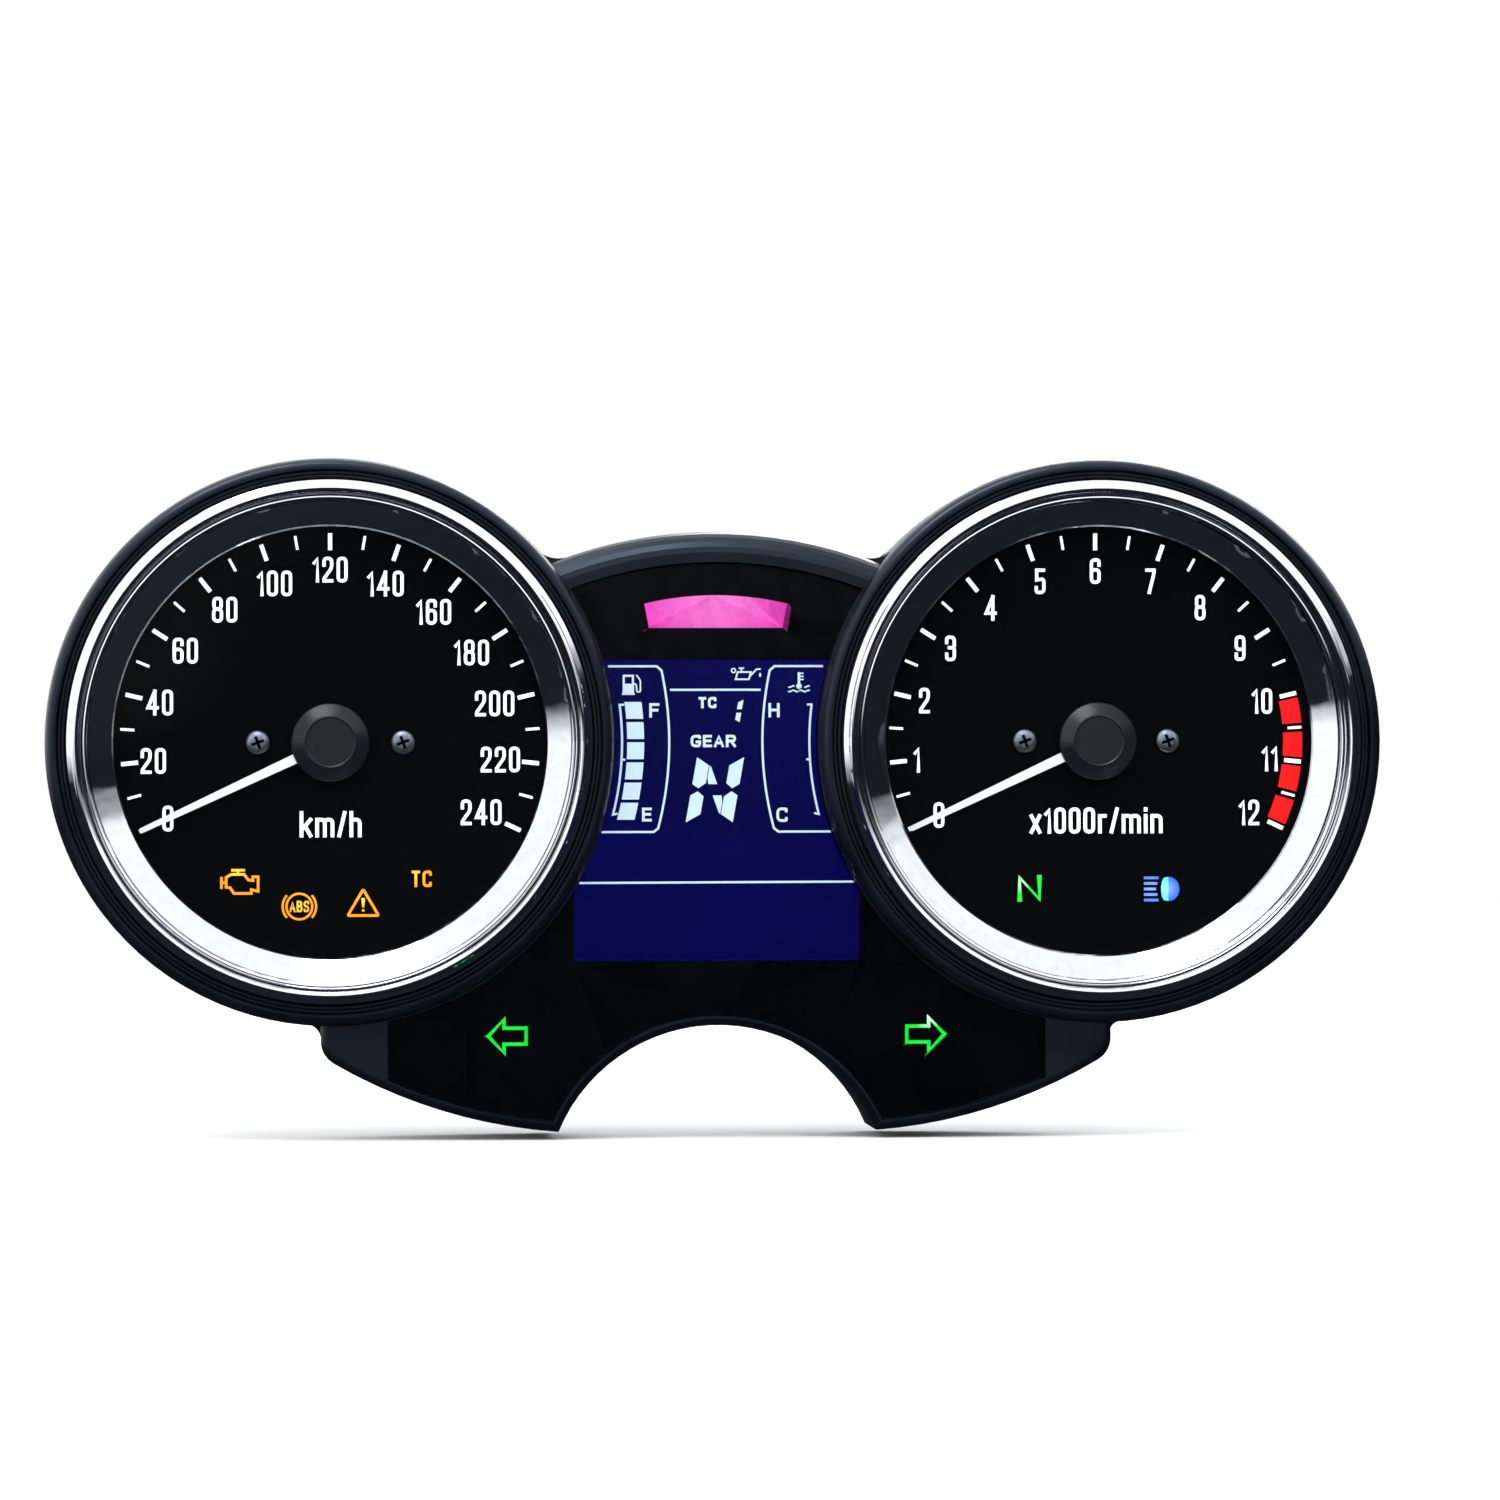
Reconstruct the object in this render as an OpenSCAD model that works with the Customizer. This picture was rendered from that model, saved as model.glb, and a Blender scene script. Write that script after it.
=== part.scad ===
// Twin-dial motorcycle instrument cluster: two round gauges, a centre display and a rear case.
// Sub-parts are drawn face up (X right, Y up the dial, height towards the rider) and stood upright
// by upright(). Heights count forward from the plane of the three rear mounting faces.

/* [Layout] */
// Distance between the two dial centres
pod_pitch = 150; // [148:1:152]
// Outer radius of each gauge collar
pod_r = 55; // [54.6:0.1:55.4]
// Radius of the arch over the centre display
hood_r = 87; // [84:1:90]
// Height of the top of that arch above the dial centres
hood_top = 41; // [40:0.5:42]
// Radius of the notch that clears the ignition switch
notch_r = 33.6; // [32:0.1:34]
// Distance from the dial centres down to the top of the notch
notch_top = 55.2; // [54.6:0.1:56]

/* [Heights] */
// Joint between rear case and front cover
split_h = 40; // [39.6:0.1:40.4]
// Front surface of the centre bezel
bezel_h = 56.4; // [56.2:0.1:57]
// Top of the raised gauge collars
collar_h = 59.2; // [59:0.1:59.6]
// Outside face of the centre box at the rear
box_h = 12; // [11:0.5:13]
// How far the rounded rear cups reach behind the mounting plane
nose_back = 12; // [8:1:16]

/* [Gauges] */
// Visible radius of each dial, inside its reflector
dial_view_r = 42.2; // [42:0.1:42.6]
// Sweep of each pointer over its scale, in degrees
sweep = 230; // [180:5:240]
// Resting angle of the pointers below the horizontal, in degrees
rest_angle = 25; // [20:1:30]
// Radius of the pointer's hub cap
cap_r = 7.6; // [7:0.1:8]
// Distance of the dial screws from the pointer shaft
dial_screw_x = 14.1; // [13:0.1:16]

/* [Stepper motors] */
// Gear module of the two-stage train
gear_module = 0.3;
// Teeth on both pinions
pinion_teeth = 10;
// Teeth on both wheels
wheel_teeth = 60;

/* [Mounting] */
// Radius of the threaded bores, M6 tapping size
mount_bore_r = 2.5; // [2.1:0.1:3.3]
// Depth of the threaded bores
mount_depth = 14; // [10:1:14]
// Half the distance between the two lower mounts
mount_x = 30; // [28:1:31]
// Distance of the lower mounts below the upper one
mount_drop = 42; // [40:1:43]

/* [Hidden] */
$fn = 96;
wall = 2.2;
gap = 0.1;
// Small step that keeps a rounded corner from being exactly tangent to its neighbours
step = 0.03;
far = 200;
pod_x = pod_pitch / 2;

// centre bezel and apron
hood_y = hood_top - hood_r;
notch_y = -notch_top - notch_r;
waist_w = 68;
waist_low = -50;
apron_r = 100;
apron_at = [24, 24];
side_x = 77;
corner_r = 5;
corner_at = [side_x - corner_r,
             apron_at.y - sqrt(pow(apron_r - corner_r, 2) - pow(side_x - corner_r - apron_at.x, 2))];
valley_fillet = 6;
shoulder_fillet = 3;
pod_at = [pod_x, 0];
hood_at = [0, hood_y];
valley_at = meeting(pod_at, hood_at, pod_r + valley_fillet, hood_r + valley_fillet);
shoulder_at = [side_x + shoulder_fillet,
               -sqrt(pow(pod_r + shoulder_fillet, 2) - pow(side_x + shoulder_fillet - pod_x, 2))];
apron_edge = 1.5;
hood_edge = [4.2, 5];

// centre window
panel_r = pod_r + 0.2;
panel_rim = 1.8;
panel_hood_rim = 6.1;
panel_half = 64;
ceiling_h = 52.3;
window_h = [53.1, 55.6];
mask_h = [ceiling_h, window_h[0]];
screen_x = 27.8;
screen_y = [-42.7, 16];
screen_side_r = panel_r + 0.3;
screen_t = 2.2;
lcd_size = [56.4, 60.2];
lcd_y = (screen_y[0] + screen_y[1]) / 2;
lcd_wall = 1.2;
strip_size = [46, 1.6];
strip_y = [screen_y[0] + 2.2, screen_y[1] - 2.2];
arrow_at = [40.9, -57.2];

// gauge stack
shelf_h = 56.5;
bore_r = 47.8;
seat_r = 50.65;
flange_h = 57.3;
cone_h = 54.6;
lens_h = [57.9, 59.9];
lens_r = 50.2;
bead_h = 62;
dial_h = [48.2, 49];
dial_r = 44.5;
guide_h = [45.2, dial_h[0]];
frame_h = [43.2, guide_h[0]];
board_h = [36.4, 38];
needle_h = [51.1, 51.9];
cap_h = [51.9, 54.6];
cap_top_r = 4.9;
shaft_top = 53;
shaft_r = 0.75;

// stepper motors, measured from the pointer shaft
motor_h = [26.4, board_h[0]];
motor_x = [-10.2, 17.8];
motor_y = [-20.8, 10.2];
motor_wall = 0.8;
lid_h = [motor_h[1] - 1, motor_h[1]];
gear_gap = gear_module * (pinion_teeth + wheel_teeth) / 2;
idler_at = [0, -gear_gap];
rotor_at = idler_at + gear_gap * [cos(30), sin(30)];
rotor_phase = 12;
wheel_high_h = [33.6, 34.8];
wheel_low_h = [31.6, 32.8];
pin_play = 0.04;
idler_pin_r = 0.5;
rotor_pin_r = 0.4;
magnet_r = 2.8;
stator_h = [29, 30.2];
coil_x = 14.4;
coil_r = 2.2;
coil_y = [[-17.6, -8.6], [-2, 7]];

// rear case
case_top = split_h - 0.8;
apron_back = 28;
box_size = [60, 76];
box_y = -10;
mounts = [[0, 0], [-mount_x, -mount_drop], [mount_x, -mount_drop]];
grommet_r = 8;
boss_r = 10.4;
boss_h = 3.2;
plug_size = [38, 16];
plug_y = -26;
plug_h = [4, board_h[0]];
plug_wall = 1.6;
pins_across = 8;
pin_step = 4;
post_ring_r = 49.3;
post_angles = [100, 180, 250];
post_r = 3;
case_boss_r = 4.8;
boss_clear_r = case_boss_r + 0.4;
posts = concat(
    [for (side = [-1, 1], a = post_angles) [side * (pod_x - post_ring_r * cos(a)), post_ring_r * sin(a)]],
    [[0, 36.2], [-69.4, -57.6], [69.4, -57.6]]);
screw_seat_h = 31;
board_screws_at = [[-100, 24], [-100, -24], [-50, 24], [50, 24], [100, 24], [100, -24],
                   [-29, -42], [29, -42]];
screw_r = 1.15;
board_screw_top = 42;

// ---- helpers -------------------------------------------------------------

// Points along an arc about c, from angle a to angle b
function arc(c, r, a, b, steps = 8) =
    [for (i = [0 : steps]) c + r * [cos(a + (b - a) * i / steps), sin(a + (b - a) * i / steps)]];

// Points along a quarter of an ellipse edge, from the rim at [r, low] up to [r - inset, high]
function edge_round(r, inset, low, high, steps = 6) =
    [for (i = [0 : steps]) [r - inset * (1 - cos(90 * i / steps)), low + (high - low) * sin(90 * i / steps)]];

// The upper point that lies at distance rp from p and rq from q
function meeting(p, q, rp, rq) =
    let (d = norm(q - p), u = (q - p) / d, along = (rp * rp - rq * rq + d * d) / (2 * d),
         off = sqrt(rp * rp - along * along), m = p + along * u)
    (m + off * [u.y, -u.x]).y > m.y ? m + off * [u.y, -u.x] : m - off * [u.y, -u.x];

// Involute angle, in degrees, where the flank of base radius b reaches radius r
function involute(b, r) = let (t = sqrt(max(0, r * r / (b * b) - 1))) t * 180 / PI - atan(t);

// Stands a face-up part upright: height turns towards the rider
module upright() {
    rotate([90, 0, 0]) children();
}

// Extrudes a flat shape between two heights
module slab(h) {
    translate([0, 0, h[0]]) linear_extrude(h[1] - h[0]) children();
}

// Moves its children to a dial centre: -1 is the speedometer, 1 the tachometer
module at_dial(side) {
    upright() translate([side * pod_x, 0, 0]) children();
}

// A cylinder between two heights
module drum(r, h) {
    translate([0, 0, h[0]]) cylinder(r = r, h = h[1] - h[0]);
}

// A tube between two heights
module tube(outer, inner, h) {
    difference() {
        drum(outer, h);
        drum(inner, [h[0] - 1, h[1] + 1]);
    }
}

// A flat rectangle from one corner to the other
module span(x, y) {
    translate([x[0], y[0]]) square([x[1] - x[0], y[1] - y[0]]);
}

// A rectangle about its own centre with rounded corners
module rounded_rect(size, r) {
    for (x = [-1, 1], y = [-1, 1]) translate([x * (size.x / 2 - r), y * (size.y / 2 - r)]) circle(r);
    square([size.x - 2 * r, size.y], center = true);
    square([size.x, size.y - 2 * r], center = true);
}

// A disc whose upper edge is rounded over
module rounded_disc(r, h, edge) {
    rotate_extrude()
        polygon(concat([[0, h[0]], [r, h[0]]], edge_round(r, edge[0], h[1] - edge[1], h[1]), [[0, h[1]]]));
}

// ---- outlines ------------------------------------------------------------

module pods(r) {
    for (side = [-1, 1]) translate([side * pod_x, 0]) circle(r);
}

// Straight sides of the apron's right half, cut off where the rounded corner begins
module apron_bounds(inset) {
    polygon([[0, -20], [side_x - inset, -20], [side_x - inset, corner_at.y], corner_at,
             corner_at + 20 * (corner_at - apron_at) / norm(corner_at - apron_at), [0, -90]]);
}

// Right half of the apron, moved inwards by inset
module apron_half(inset) {
    intersection() {
        translate(apron_at) circle(apron_r - inset);
        apron_bounds(inset);
    }
    if (corner_r > inset) translate(corner_at) circle(corner_r - inset - step);
}

// Concave corners where the hood and the shoulders run into the gauge collars
module corner_fillers(inset) {
    difference() {
        polygon([pod_at, hood_at, valley_at]);
        translate(valley_at) circle(valley_fillet + inset + step);
    }
    difference() {
        polygon([[pod_x, -45], shoulder_at, [corner_at.x, shoulder_at.y]]);
        translate(shoulder_at) circle(shoulder_fillet + inset + step);
    }
}

// Hood, waist and apron between the two gauges
module centre_shape(inset) {
    difference() {
        union() {
            intersection() {
                translate(hood_at) circle(hood_r - inset);
                span([-waist_w / 2, waist_w / 2], [waist_low, far]);
            }
            for (side = [0, 1]) mirror([side, 0]) {
                apron_half(inset);
                corner_fillers(inset);
            }
        }
        translate([0, notch_y]) circle(notch_r + inset);
    }
}

// Whole outline of the cluster, moved inwards by inset
module outline(inset) {
    pods(pod_r - inset);
    centre_shape(inset);
}

// Outline of the centre window, moved inwards by inset
module window_shape(inset) {
    difference() {
        union() {
            intersection() {
                translate(hood_at) circle(hood_r - panel_hood_rim - inset);
                span([-waist_w / 2, waist_w / 2], [waist_low, far]);
            }
            for (side = [0, 1]) mirror([side, 0]) intersection() {
                apron_half(panel_rim + inset);
                span([0, panel_half - inset], [-90, -20]);
            }
        }
        pods(panel_r + inset);
        translate([0, notch_y]) circle(notch_r + panel_rim + inset);
    }
}

// Part of the display that shows through the mask
module screen_shape() {
    difference() {
        span([-screen_x, screen_x], screen_y);
        pods(screen_side_r);
    }
}

// Lit bar above the display
module warning_shape(grow = 0) {
    intersection() {
        polygon([[-14.5 - grow, 30], [14.5 + grow, 30], [13 + grow, 22.2 - grow], [-13 - grow, 22.2 - grow]]);
        translate([0, 28.5 + grow - 60]) circle(60);
    }
}

// Arrow of the given half height, pointing to +X
module arrow(half, grow = 0) {
    polygon([[4.1 + 1.4 * grow, 0], [0.2 - grow, half + 1.9 * grow], [0.2 - grow, 1.9 + grow],
             [-4.1 - grow, 1.9 + grow], [-4.1 - grow, -1.9 - grow], [0.2 - grow, -1.9 - grow],
             [0.2 - grow, -half - 1.9 * grow]]);
}

// Hollow arrow that lights up
module arrow_ring() {
    difference() {
        arrow(3.9);
        arrow(3.9, -0.7);
    }
}

// ---- front ---------------------------------------------------------------

// Raised ring of one gauge, still solid in the middle
module collar() {
    rotate_extrude() polygon(concat(
        [[0, split_h], [pod_r, split_h]],
        edge_round(pod_r, 1.7, collar_h - 3, collar_h),
        [[52.8, collar_h], [52.35, collar_h - 1.1], [51.95, collar_h - 1.1], [51.6, collar_h - 0.3],
         [51.2, collar_h - 0.3], [50.8, collar_h - 1], [0, collar_h - 1]]));
}

// Straight side of a shoulder, between its rounded corner and the gauge collar
module shoulder_side() {
    length = 6;
    side = corner_r - step;
    translate([corner_at.x, corner_at.y + length, 0]) rotate([90, 0, 0]) linear_extrude(length)
        polygon(concat([[0, split_h], [side, split_h]],
            edge_round(side, apron_edge, bezel_h - apron_edge, bezel_h), [[0, bezel_h]]));
}

// Centre bezel with its edges rounded over
module centre_solid() {
    intersection() {
        translate(hood_at) rounded_disc(hood_r, [split_h, bezel_h], hood_edge);
        slab([split_h, bezel_h]) span([-waist_w / 2, waist_w / 2], [waist_low, far]);
    }
    slab([split_h, bezel_h - hood_edge[1]]) centre_shape(0);
    for (side = [0, 1]) mirror([side, 0, 0]) {
        intersection() {
            translate(apron_at) rounded_disc(apron_r, [split_h, bezel_h], [apron_edge, apron_edge]);
            slab([split_h, bezel_h]) apron_bounds(apron_edge);
        }
        translate(corner_at) rounded_disc(corner_r - step, [split_h, bezel_h], [apron_edge, apron_edge]);
        shoulder_side();
    }
}

module front_cover() {
    color([0.06, 0.065, 0.075]) upright() difference() {
        union() {
            difference() {
                union() {
                    for (side = [-1, 1]) translate([side * pod_x, 0, 0]) collar();
                    centre_solid();
                }
                slab([split_h - 1, ceiling_h]) outline(wall);
                slab([ceiling_h - 1, far]) window_shape(0);
            }
            for (p = posts) translate(p) drum(post_r, [split_h, ceiling_h]);
        }
        for (side = [-1, 1]) translate([side * pod_x, 0, 0]) {
            drum(bore_r, [ceiling_h - 1, far]);
            drum(seat_r, [shelf_h, far]);
        }
        for (p = posts) translate(p) drum(1.35, [split_h - 1, ceiling_h - 1.5]);
        translate([0, notch_y, split_h - 1]) cylinder(r = notch_r, h = far);
        translate([0, notch_y, bezel_h - 1.2]) cylinder(r1 = notch_r, r2 = notch_r + 1.3, h = 1.21);
    }
}

// Plated ring: a broad bead, a dark groove and a lower inner band
module bezel_ring(side) {
    skirt = [lens_r + 0.05, seat_r - 0.05];
    color([0.85, 0.86, 0.88]) at_dial(side) rotate_extrude() polygon(concat(
        [[skirt[1], lens_h[0] - 0.4], [skirt[1], lens_h[1] + 0.6]],
        arc([48.95, bead_h - 0.75], 0.75, 0, 180),
        [[48.2, lens_h[1] + 0.4], [47.8, lens_h[1] + 0.4]],
        arc([47.2, lens_h[1] + 0.6], 0.6, 0, 180),
        [[46.6, lens_h[1]], [skirt[0], lens_h[1]], [skirt[0], lens_h[0] - 0.4]]));
}

module lens(side) {
    color([0.85, 0.9, 0.95, 0.25]) at_dial(side) drum(lens_r, lens_h);
}

module lens_seal(side) {
    color([0.08, 0.08, 0.08]) at_dial(side) tube(lens_r, 47.6, [flange_h, lens_h[0]]);
}

// Mirror-bright shallow cone under the lens, on a thin wall that stands on the dial
module reflector(side) {
    wall_in = dial_view_r + 0.5;
    wall_out = dial_view_r + 1.2;
    color([0.9, 0.9, 0.92]) at_dial(side) rotate_extrude() polygon([
        [lens_r, shelf_h], [lens_r, flange_h], [46.6, flange_h], [dial_view_r, cone_h],
        [dial_view_r - 0.3, cone_h - 0.3], [dial_view_r - 0.3, cone_h - 0.7], [wall_in, cone_h - 1.1],
        [wall_in, dial_h[1]], [wall_out, dial_h[1]], [wall_out, cone_h - 0.9], [47.1, shelf_h]]);
}

module centre_window() {
    color([0.1, 0.11, 0.13, 0.4]) upright() slab(window_h) window_shape(gap);
}

module centre_mask() {
    color([0.02, 0.02, 0.022]) upright() slab(mask_h) difference() {
        window_shape(gap);
        screen_shape();
        warning_shape(gap / 2);
        for (side = [0, 1]) mirror([side, 0]) translate(arrow_at) arrow_ring();
    }
}

// Wedge of tinted acrylic that ends flush with the mask
module warning_light_pipe() {
    color([0.9, 0.25, 0.7]) upright() {
        slab([frame_h[1], mask_h[0]]) intersection() {
            warning_shape(1);
            span([-30, 30], [20.8, 30]);
        }
        slab(mask_h) warning_shape();
    }
}

// Arrow-shaped light pipes, hollow where they meet the window
module turn_light_pipes() {
    color([0.1, 0.85, 0.25]) upright() for (side = [0, 1]) mirror([side, 0, 0]) translate(arrow_at) {
        slab([frame_h[1], mask_h[0]]) arrow(3.9, 0.3);
        slab(mask_h) arrow_ring();
    }
}

// ---- dials and display ---------------------------------------------------

// Windows in a dial for its warning lamps: half width, x and y of each
function lamp_spots(side) = side < 0 ? [[-17.4, -27.5], [-6, -32.2], [6.2, -31.8], [17.6, -27.4]]
                                     : [[-13.2, -29.2], [12.4, -29.2]];

// Dial plate with its shaft and screw holes
module dial(side) {
    color([0.03, 0.03, 0.035]) at_dial(side) difference() {
        drum(dial_r, dial_h);
        drum(2, [0, far]);
        for (x = [-dial_screw_x, dial_screw_x]) translate([x, 0, 0]) drum(1.35, [0, far]);
    }
}

// Clear disc behind a dial that spreads the lamps' light
module light_guide(side) {
    color([0.85, 0.92, 0.95, 0.5]) at_dial(side) difference() {
        drum(dial_r - 0.5, guide_h);
        drum(5, [0, far]);
        for (x = [-dial_screw_x, dial_screw_x]) translate([x, 0, 0]) drum(1.6, [0, far]);
        for (p = lamp_spots(side)) translate(p) slab([0, far]) square([8.4, 7], center = true);
    }
}

// Pan-head screws with a cross recess
module dial_screws() {
    color([0.2, 0.21, 0.23]) for (side = [-1, 1]) at_dial(side)
        for (x = [-dial_screw_x, dial_screw_x]) translate([x, 0, 0]) difference() {
            union() {
                rotate_extrude() polygon(concat([[0, dial_h[1]]], [[2.45, dial_h[1]]],
                    edge_round(2.45, 1.6, dial_h[1] + 0.4, dial_h[1] + 1.5), [[0, dial_h[1] + 1.5]]));
                drum(screw_r, [frame_h[0] + 0.6, dial_h[1]]);
            }
            rotate([0, 0, 20]) for (turn = [0, 90]) rotate([0, 0, turn])
                slab([dial_h[1] + 0.6, far]) square([2.6, 0.6], center = true);
        }
}

// Two glass sheets; the rear one stands out at the bottom to carry the contacts
module lcd_panel() {
    color([0.05, 0.05, 0.4]) upright() translate([0, lcd_y, 0]) {
        slab([mask_h[0] - screen_t / 2, mask_h[0]]) translate([0, 1])
            square(lcd_size - [0, 2], center = true);
        slab([mask_h[0] - screen_t, mask_h[0] - screen_t / 2]) square(lcd_size, center = true);
    }
}

// Open box that holds the display and its backlight
module lcd_frame() {
    outer = lcd_size + 2 * [lcd_wall, lcd_wall];
    color([0.85, 0.85, 0.83]) upright() translate([0, lcd_y, 0]) difference() {
        slab([frame_h[1], mask_h[0]]) square(outer, center = true);
        slab([frame_h[1] - 1, far]) square(lcd_size - [4, 8], center = true);
        slab([frame_h[1] - 1, far]) translate([0, -lcd_y]) strip_slots();
        slab([mask_h[0] - screen_t, far]) square(lcd_size + [gap, gap], center = true);
    }
}

module lcd_backlight() {
    color([0.9, 0.93, 0.95, 0.6]) upright() translate([0, lcd_y, 0])
        slab([frame_h[1] + 1, mask_h[0] - screen_t]) square(lcd_size - [4.4, 8.4], center = true);
}

// Slots that the contact strips pass through
module strip_slots() {
    for (y = strip_y) translate([0, y]) square([strip_size[0] + 0.4, strip_size[1] + 0.6], center = true);
}

// Elastomer strips that join the glass to the circuit board
module lcd_contact_strips() {
    color([0.6, 0.6, 0.58]) upright() for (y = strip_y)
        slab([board_h[1], mask_h[0] - screen_t]) translate([0, y]) square(strip_size, center = true);
}

// Flat carrier of the inner frame, before its holes
module frame_shape(inset) {
    pods(dial_r - inset);
    translate([0, lcd_y]) square([66, 66] - 2 * [inset, inset], center = true);
    difference() {
        span([-14, 14], [16, 32]);
        translate([0, 36.2]) circle(boss_clear_r + inset);
    }
    difference() {
        intersection() {
            for (side = [0, 1]) mirror([side, 0]) apron_half(4.4 + inset);
            span([-52 + inset, 52 - inset], [-80, -30]);
        }
        translate([0, notch_y]) circle(notch_r + 3.4 + inset);
    }
}

// Cells in the inner frame that let the lamps shine through
module frame_cells() {
    for (side = [-1, 1]) translate([side * pod_x, 0]) {
        circle(4);
        for (p = lamp_spots(side)) translate(p) square([8, 6.6], center = true);
        for (a = [30 : 40 : 150]) rotate(a) translate([30, 0]) square([7, 9], center = true);
    }
    translate([0, lcd_y]) square([46, 40], center = true);
    strip_slots();
    translate([0, 25.4]) square([22, 4.4], center = true);
    for (side = [0, 1]) mirror([side, 0]) translate(arrow_at) square([7, 6], center = true);
}

// Carrier for dials, display and light cells
module inner_frame() {
    color([0.88, 0.88, 0.86]) upright() difference() {
        union() {
            slab(frame_h) frame_shape(0);
            slab([board_h[1], frame_h[0]]) difference() {
                frame_shape(0);
                frame_shape(1.6);
            }
            for (side = [-1, 1], x = [-dial_screw_x, dial_screw_x])
                translate([side * pod_x + x, 0, 0]) drum(2.6, [board_h[1] + 0.6, frame_h[1]]);
            for (p = board_screws_at) translate(p) drum(2.6, [board_h[1], frame_h[1]]);
        }
        slab([frame_h[0] - 0.1, far]) frame_cells();
        for (side = [-1, 1], x = [-dial_screw_x, dial_screw_x])
            translate([side * pod_x + x, 0, 0]) drum(screw_r, [board_h[1] + 1, far]);
        for (p = board_screws_at) translate(p) drum(screw_r, [board_h[1] - 1, board_screw_top + 0.4]);
        for (p = posts) translate(p) drum(boss_clear_r, [0, far]);
    }
}

// ---- electronics ---------------------------------------------------------

module board_shape() {
    difference() {
        union() {
            pods(48.6);
            span([-36, 36], [-50, 30]);
        }
        for (p = posts) translate(p) circle(boss_clear_r);
        translate([0, notch_y]) circle(notch_r + 4);
    }
}

module circuit_board() {
    color([0.02, 0.25, 0.1]) upright() difference() {
        slab(board_h) board_shape();
        for (side = [-1, 1]) translate([side * pod_x, 0, 0]) drum(2, [0, far]);
        for (p = board_screws_at) translate(p) drum(1.7, [0, far]);
    }
}

// One lamp with its lens dome
module lamp() {
    slab([board_h[1], board_h[1] + 1.4]) square([3.2, 2.8], center = true);
    drum(1.1, [board_h[1] + 1.4, board_h[1] + 1.8]);
}

module board_leds() {
    color([0.95, 0.93, 0.7]) upright() {
        for (side = [-1, 1]) translate([side * pod_x, 0, 0]) {
            for (p = lamp_spots(side)) translate(p) lamp();
            for (a = [30 : 40 : 150]) rotate([0, 0, a]) translate([30, 0, 0]) lamp();
        }
        for (x = [-15, 15], y = [-28, -13, 2]) translate([x, y, 0]) lamp();
        for (x = [-7, 7]) translate([x, 25.4, 0]) lamp();
    }
}

// Controller, display driver, regulator and two capacitors on the back of the board
module board_chips() {
    color([0.05, 0.05, 0.05]) upright() {
        translate([14, 12, 0]) slab([board_h[0] - 1.6, board_h[0]]) square([14, 14], center = true);
        translate([-14, 12, 0]) slab([board_h[0] - 1.4, board_h[0]]) square([10, 10], center = true);
        translate([-26, -8, 0]) slab([board_h[0] - 2.3, board_h[0]]) square([6.5, 9], center = true);
        for (x = [24, 33]) translate([x, -8, 0]) drum(4, [board_h[0] - 10, board_h[0]]);
    }
}

module board_screws() {
    color([0.6, 0.6, 0.62]) upright() for (p = board_screws_at) translate(p) {
        drum(2.8, [board_h[0] - 1.6, board_h[0]]);
        drum(screw_r, [board_h[0], board_screw_top]);
    }
}

// Rows of square pins, soldered to the board and reaching into the socket
module socket_pins() {
    color([0.8, 0.7, 0.4]) upright() for (i = [0 : pins_across - 1], y = [-2.5, 2.5])
        translate([(i - (pins_across - 1) / 2) * pin_step, plug_y + y, 0])
            slab([plug_h[0] + 5, board_h[0]]) square([0.64, 0.64], center = true);
}

// Sealed socket for the wiring harness plug
module socket_shell() {
    floor_h = 20;
    color([0.1, 0.1, 0.11]) upright() difference() {
        translate([0, plug_y, 0]) union() {
            slab(plug_h) rounded_rect(plug_size, 2);
            slab([box_h + 2.6, box_h + 4.6]) rounded_rect(plug_size + [4, 4], 3);
        }
        translate([0, plug_y, 0]) slab([plug_h[0] - 1, floor_h])
            rounded_rect(plug_size - 2 * [plug_wall, plug_wall], 1);
        for (i = [0 : pins_across - 1], y = [-2.5, 2.5])
            translate([(i - (pins_across - 1) / 2) * pin_step, plug_y + y, 0])
                slab([floor_h - 1, far]) square([0.7, 0.7], center = true);
    }
}

// ---- rear case -----------------------------------------------------------

// Rounded cup behind one gauge
module cup(inset) {
    back = nose_back + case_top - inset;
    rotate_extrude() polygon(concat([[0, case_top], [pod_r - inset, case_top]],
        [for (i = [1 : 24]) [(pod_r - inset) * cos(90 * i / 24), case_top - back * sin(90 * i / 24)]]));
}

module rear_case() {
    color([0.07, 0.07, 0.075]) upright() difference() {
        union() {
            difference() {
                union() {
                    for (side = [-1, 1]) translate([side * pod_x, 0, 0]) cup(0);
                    slab([apron_back, case_top]) centre_shape(0);
                    translate([0, box_y, 0]) slab([box_h, case_top]) rounded_rect(box_size, 6);
                }
                for (side = [-1, 1]) translate([side * pod_x, 0, 0]) cup(wall);
                slab([apron_back + wall, far]) centre_shape(wall);
                translate([0, box_y, 0]) slab([box_h + wall, far])
                    rounded_rect(box_size - 2 * [wall, wall], 4);
            }
            for (p = mounts) translate(p)
                drum(boss_r, [boss_h, p.x == 0 ? mount_depth + 4 : apron_back + wall]);
            for (p = posts) intersection() {
                translate(p) drum(case_boss_r, [-nose_back, case_top]);
                union() {
                    for (side = [-1, 1]) translate([side * pod_x, 0, 0]) cup(0);
                    slab([apron_back, case_top]) centre_shape(0);
                }
            }
        }
        for (p = mounts) translate(p) drum(grommet_r, [boss_h - 1, mount_depth + 1]);
        for (p = posts) translate(p) {
            drum(3.4, [-far, screw_seat_h]);
            drum(1.7, [screw_seat_h - 1, far]);
        }
        translate([0, plug_y, 0]) slab([0, box_h + wall + 1]) rounded_rect(plug_size + [gap, gap], 2);
        translate([17, 14, 0]) drum(3, [0, box_h + wall + 1]);
        translate([0, notch_y, 0]) drum(notch_r, [0, far]);
    }
}

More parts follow.
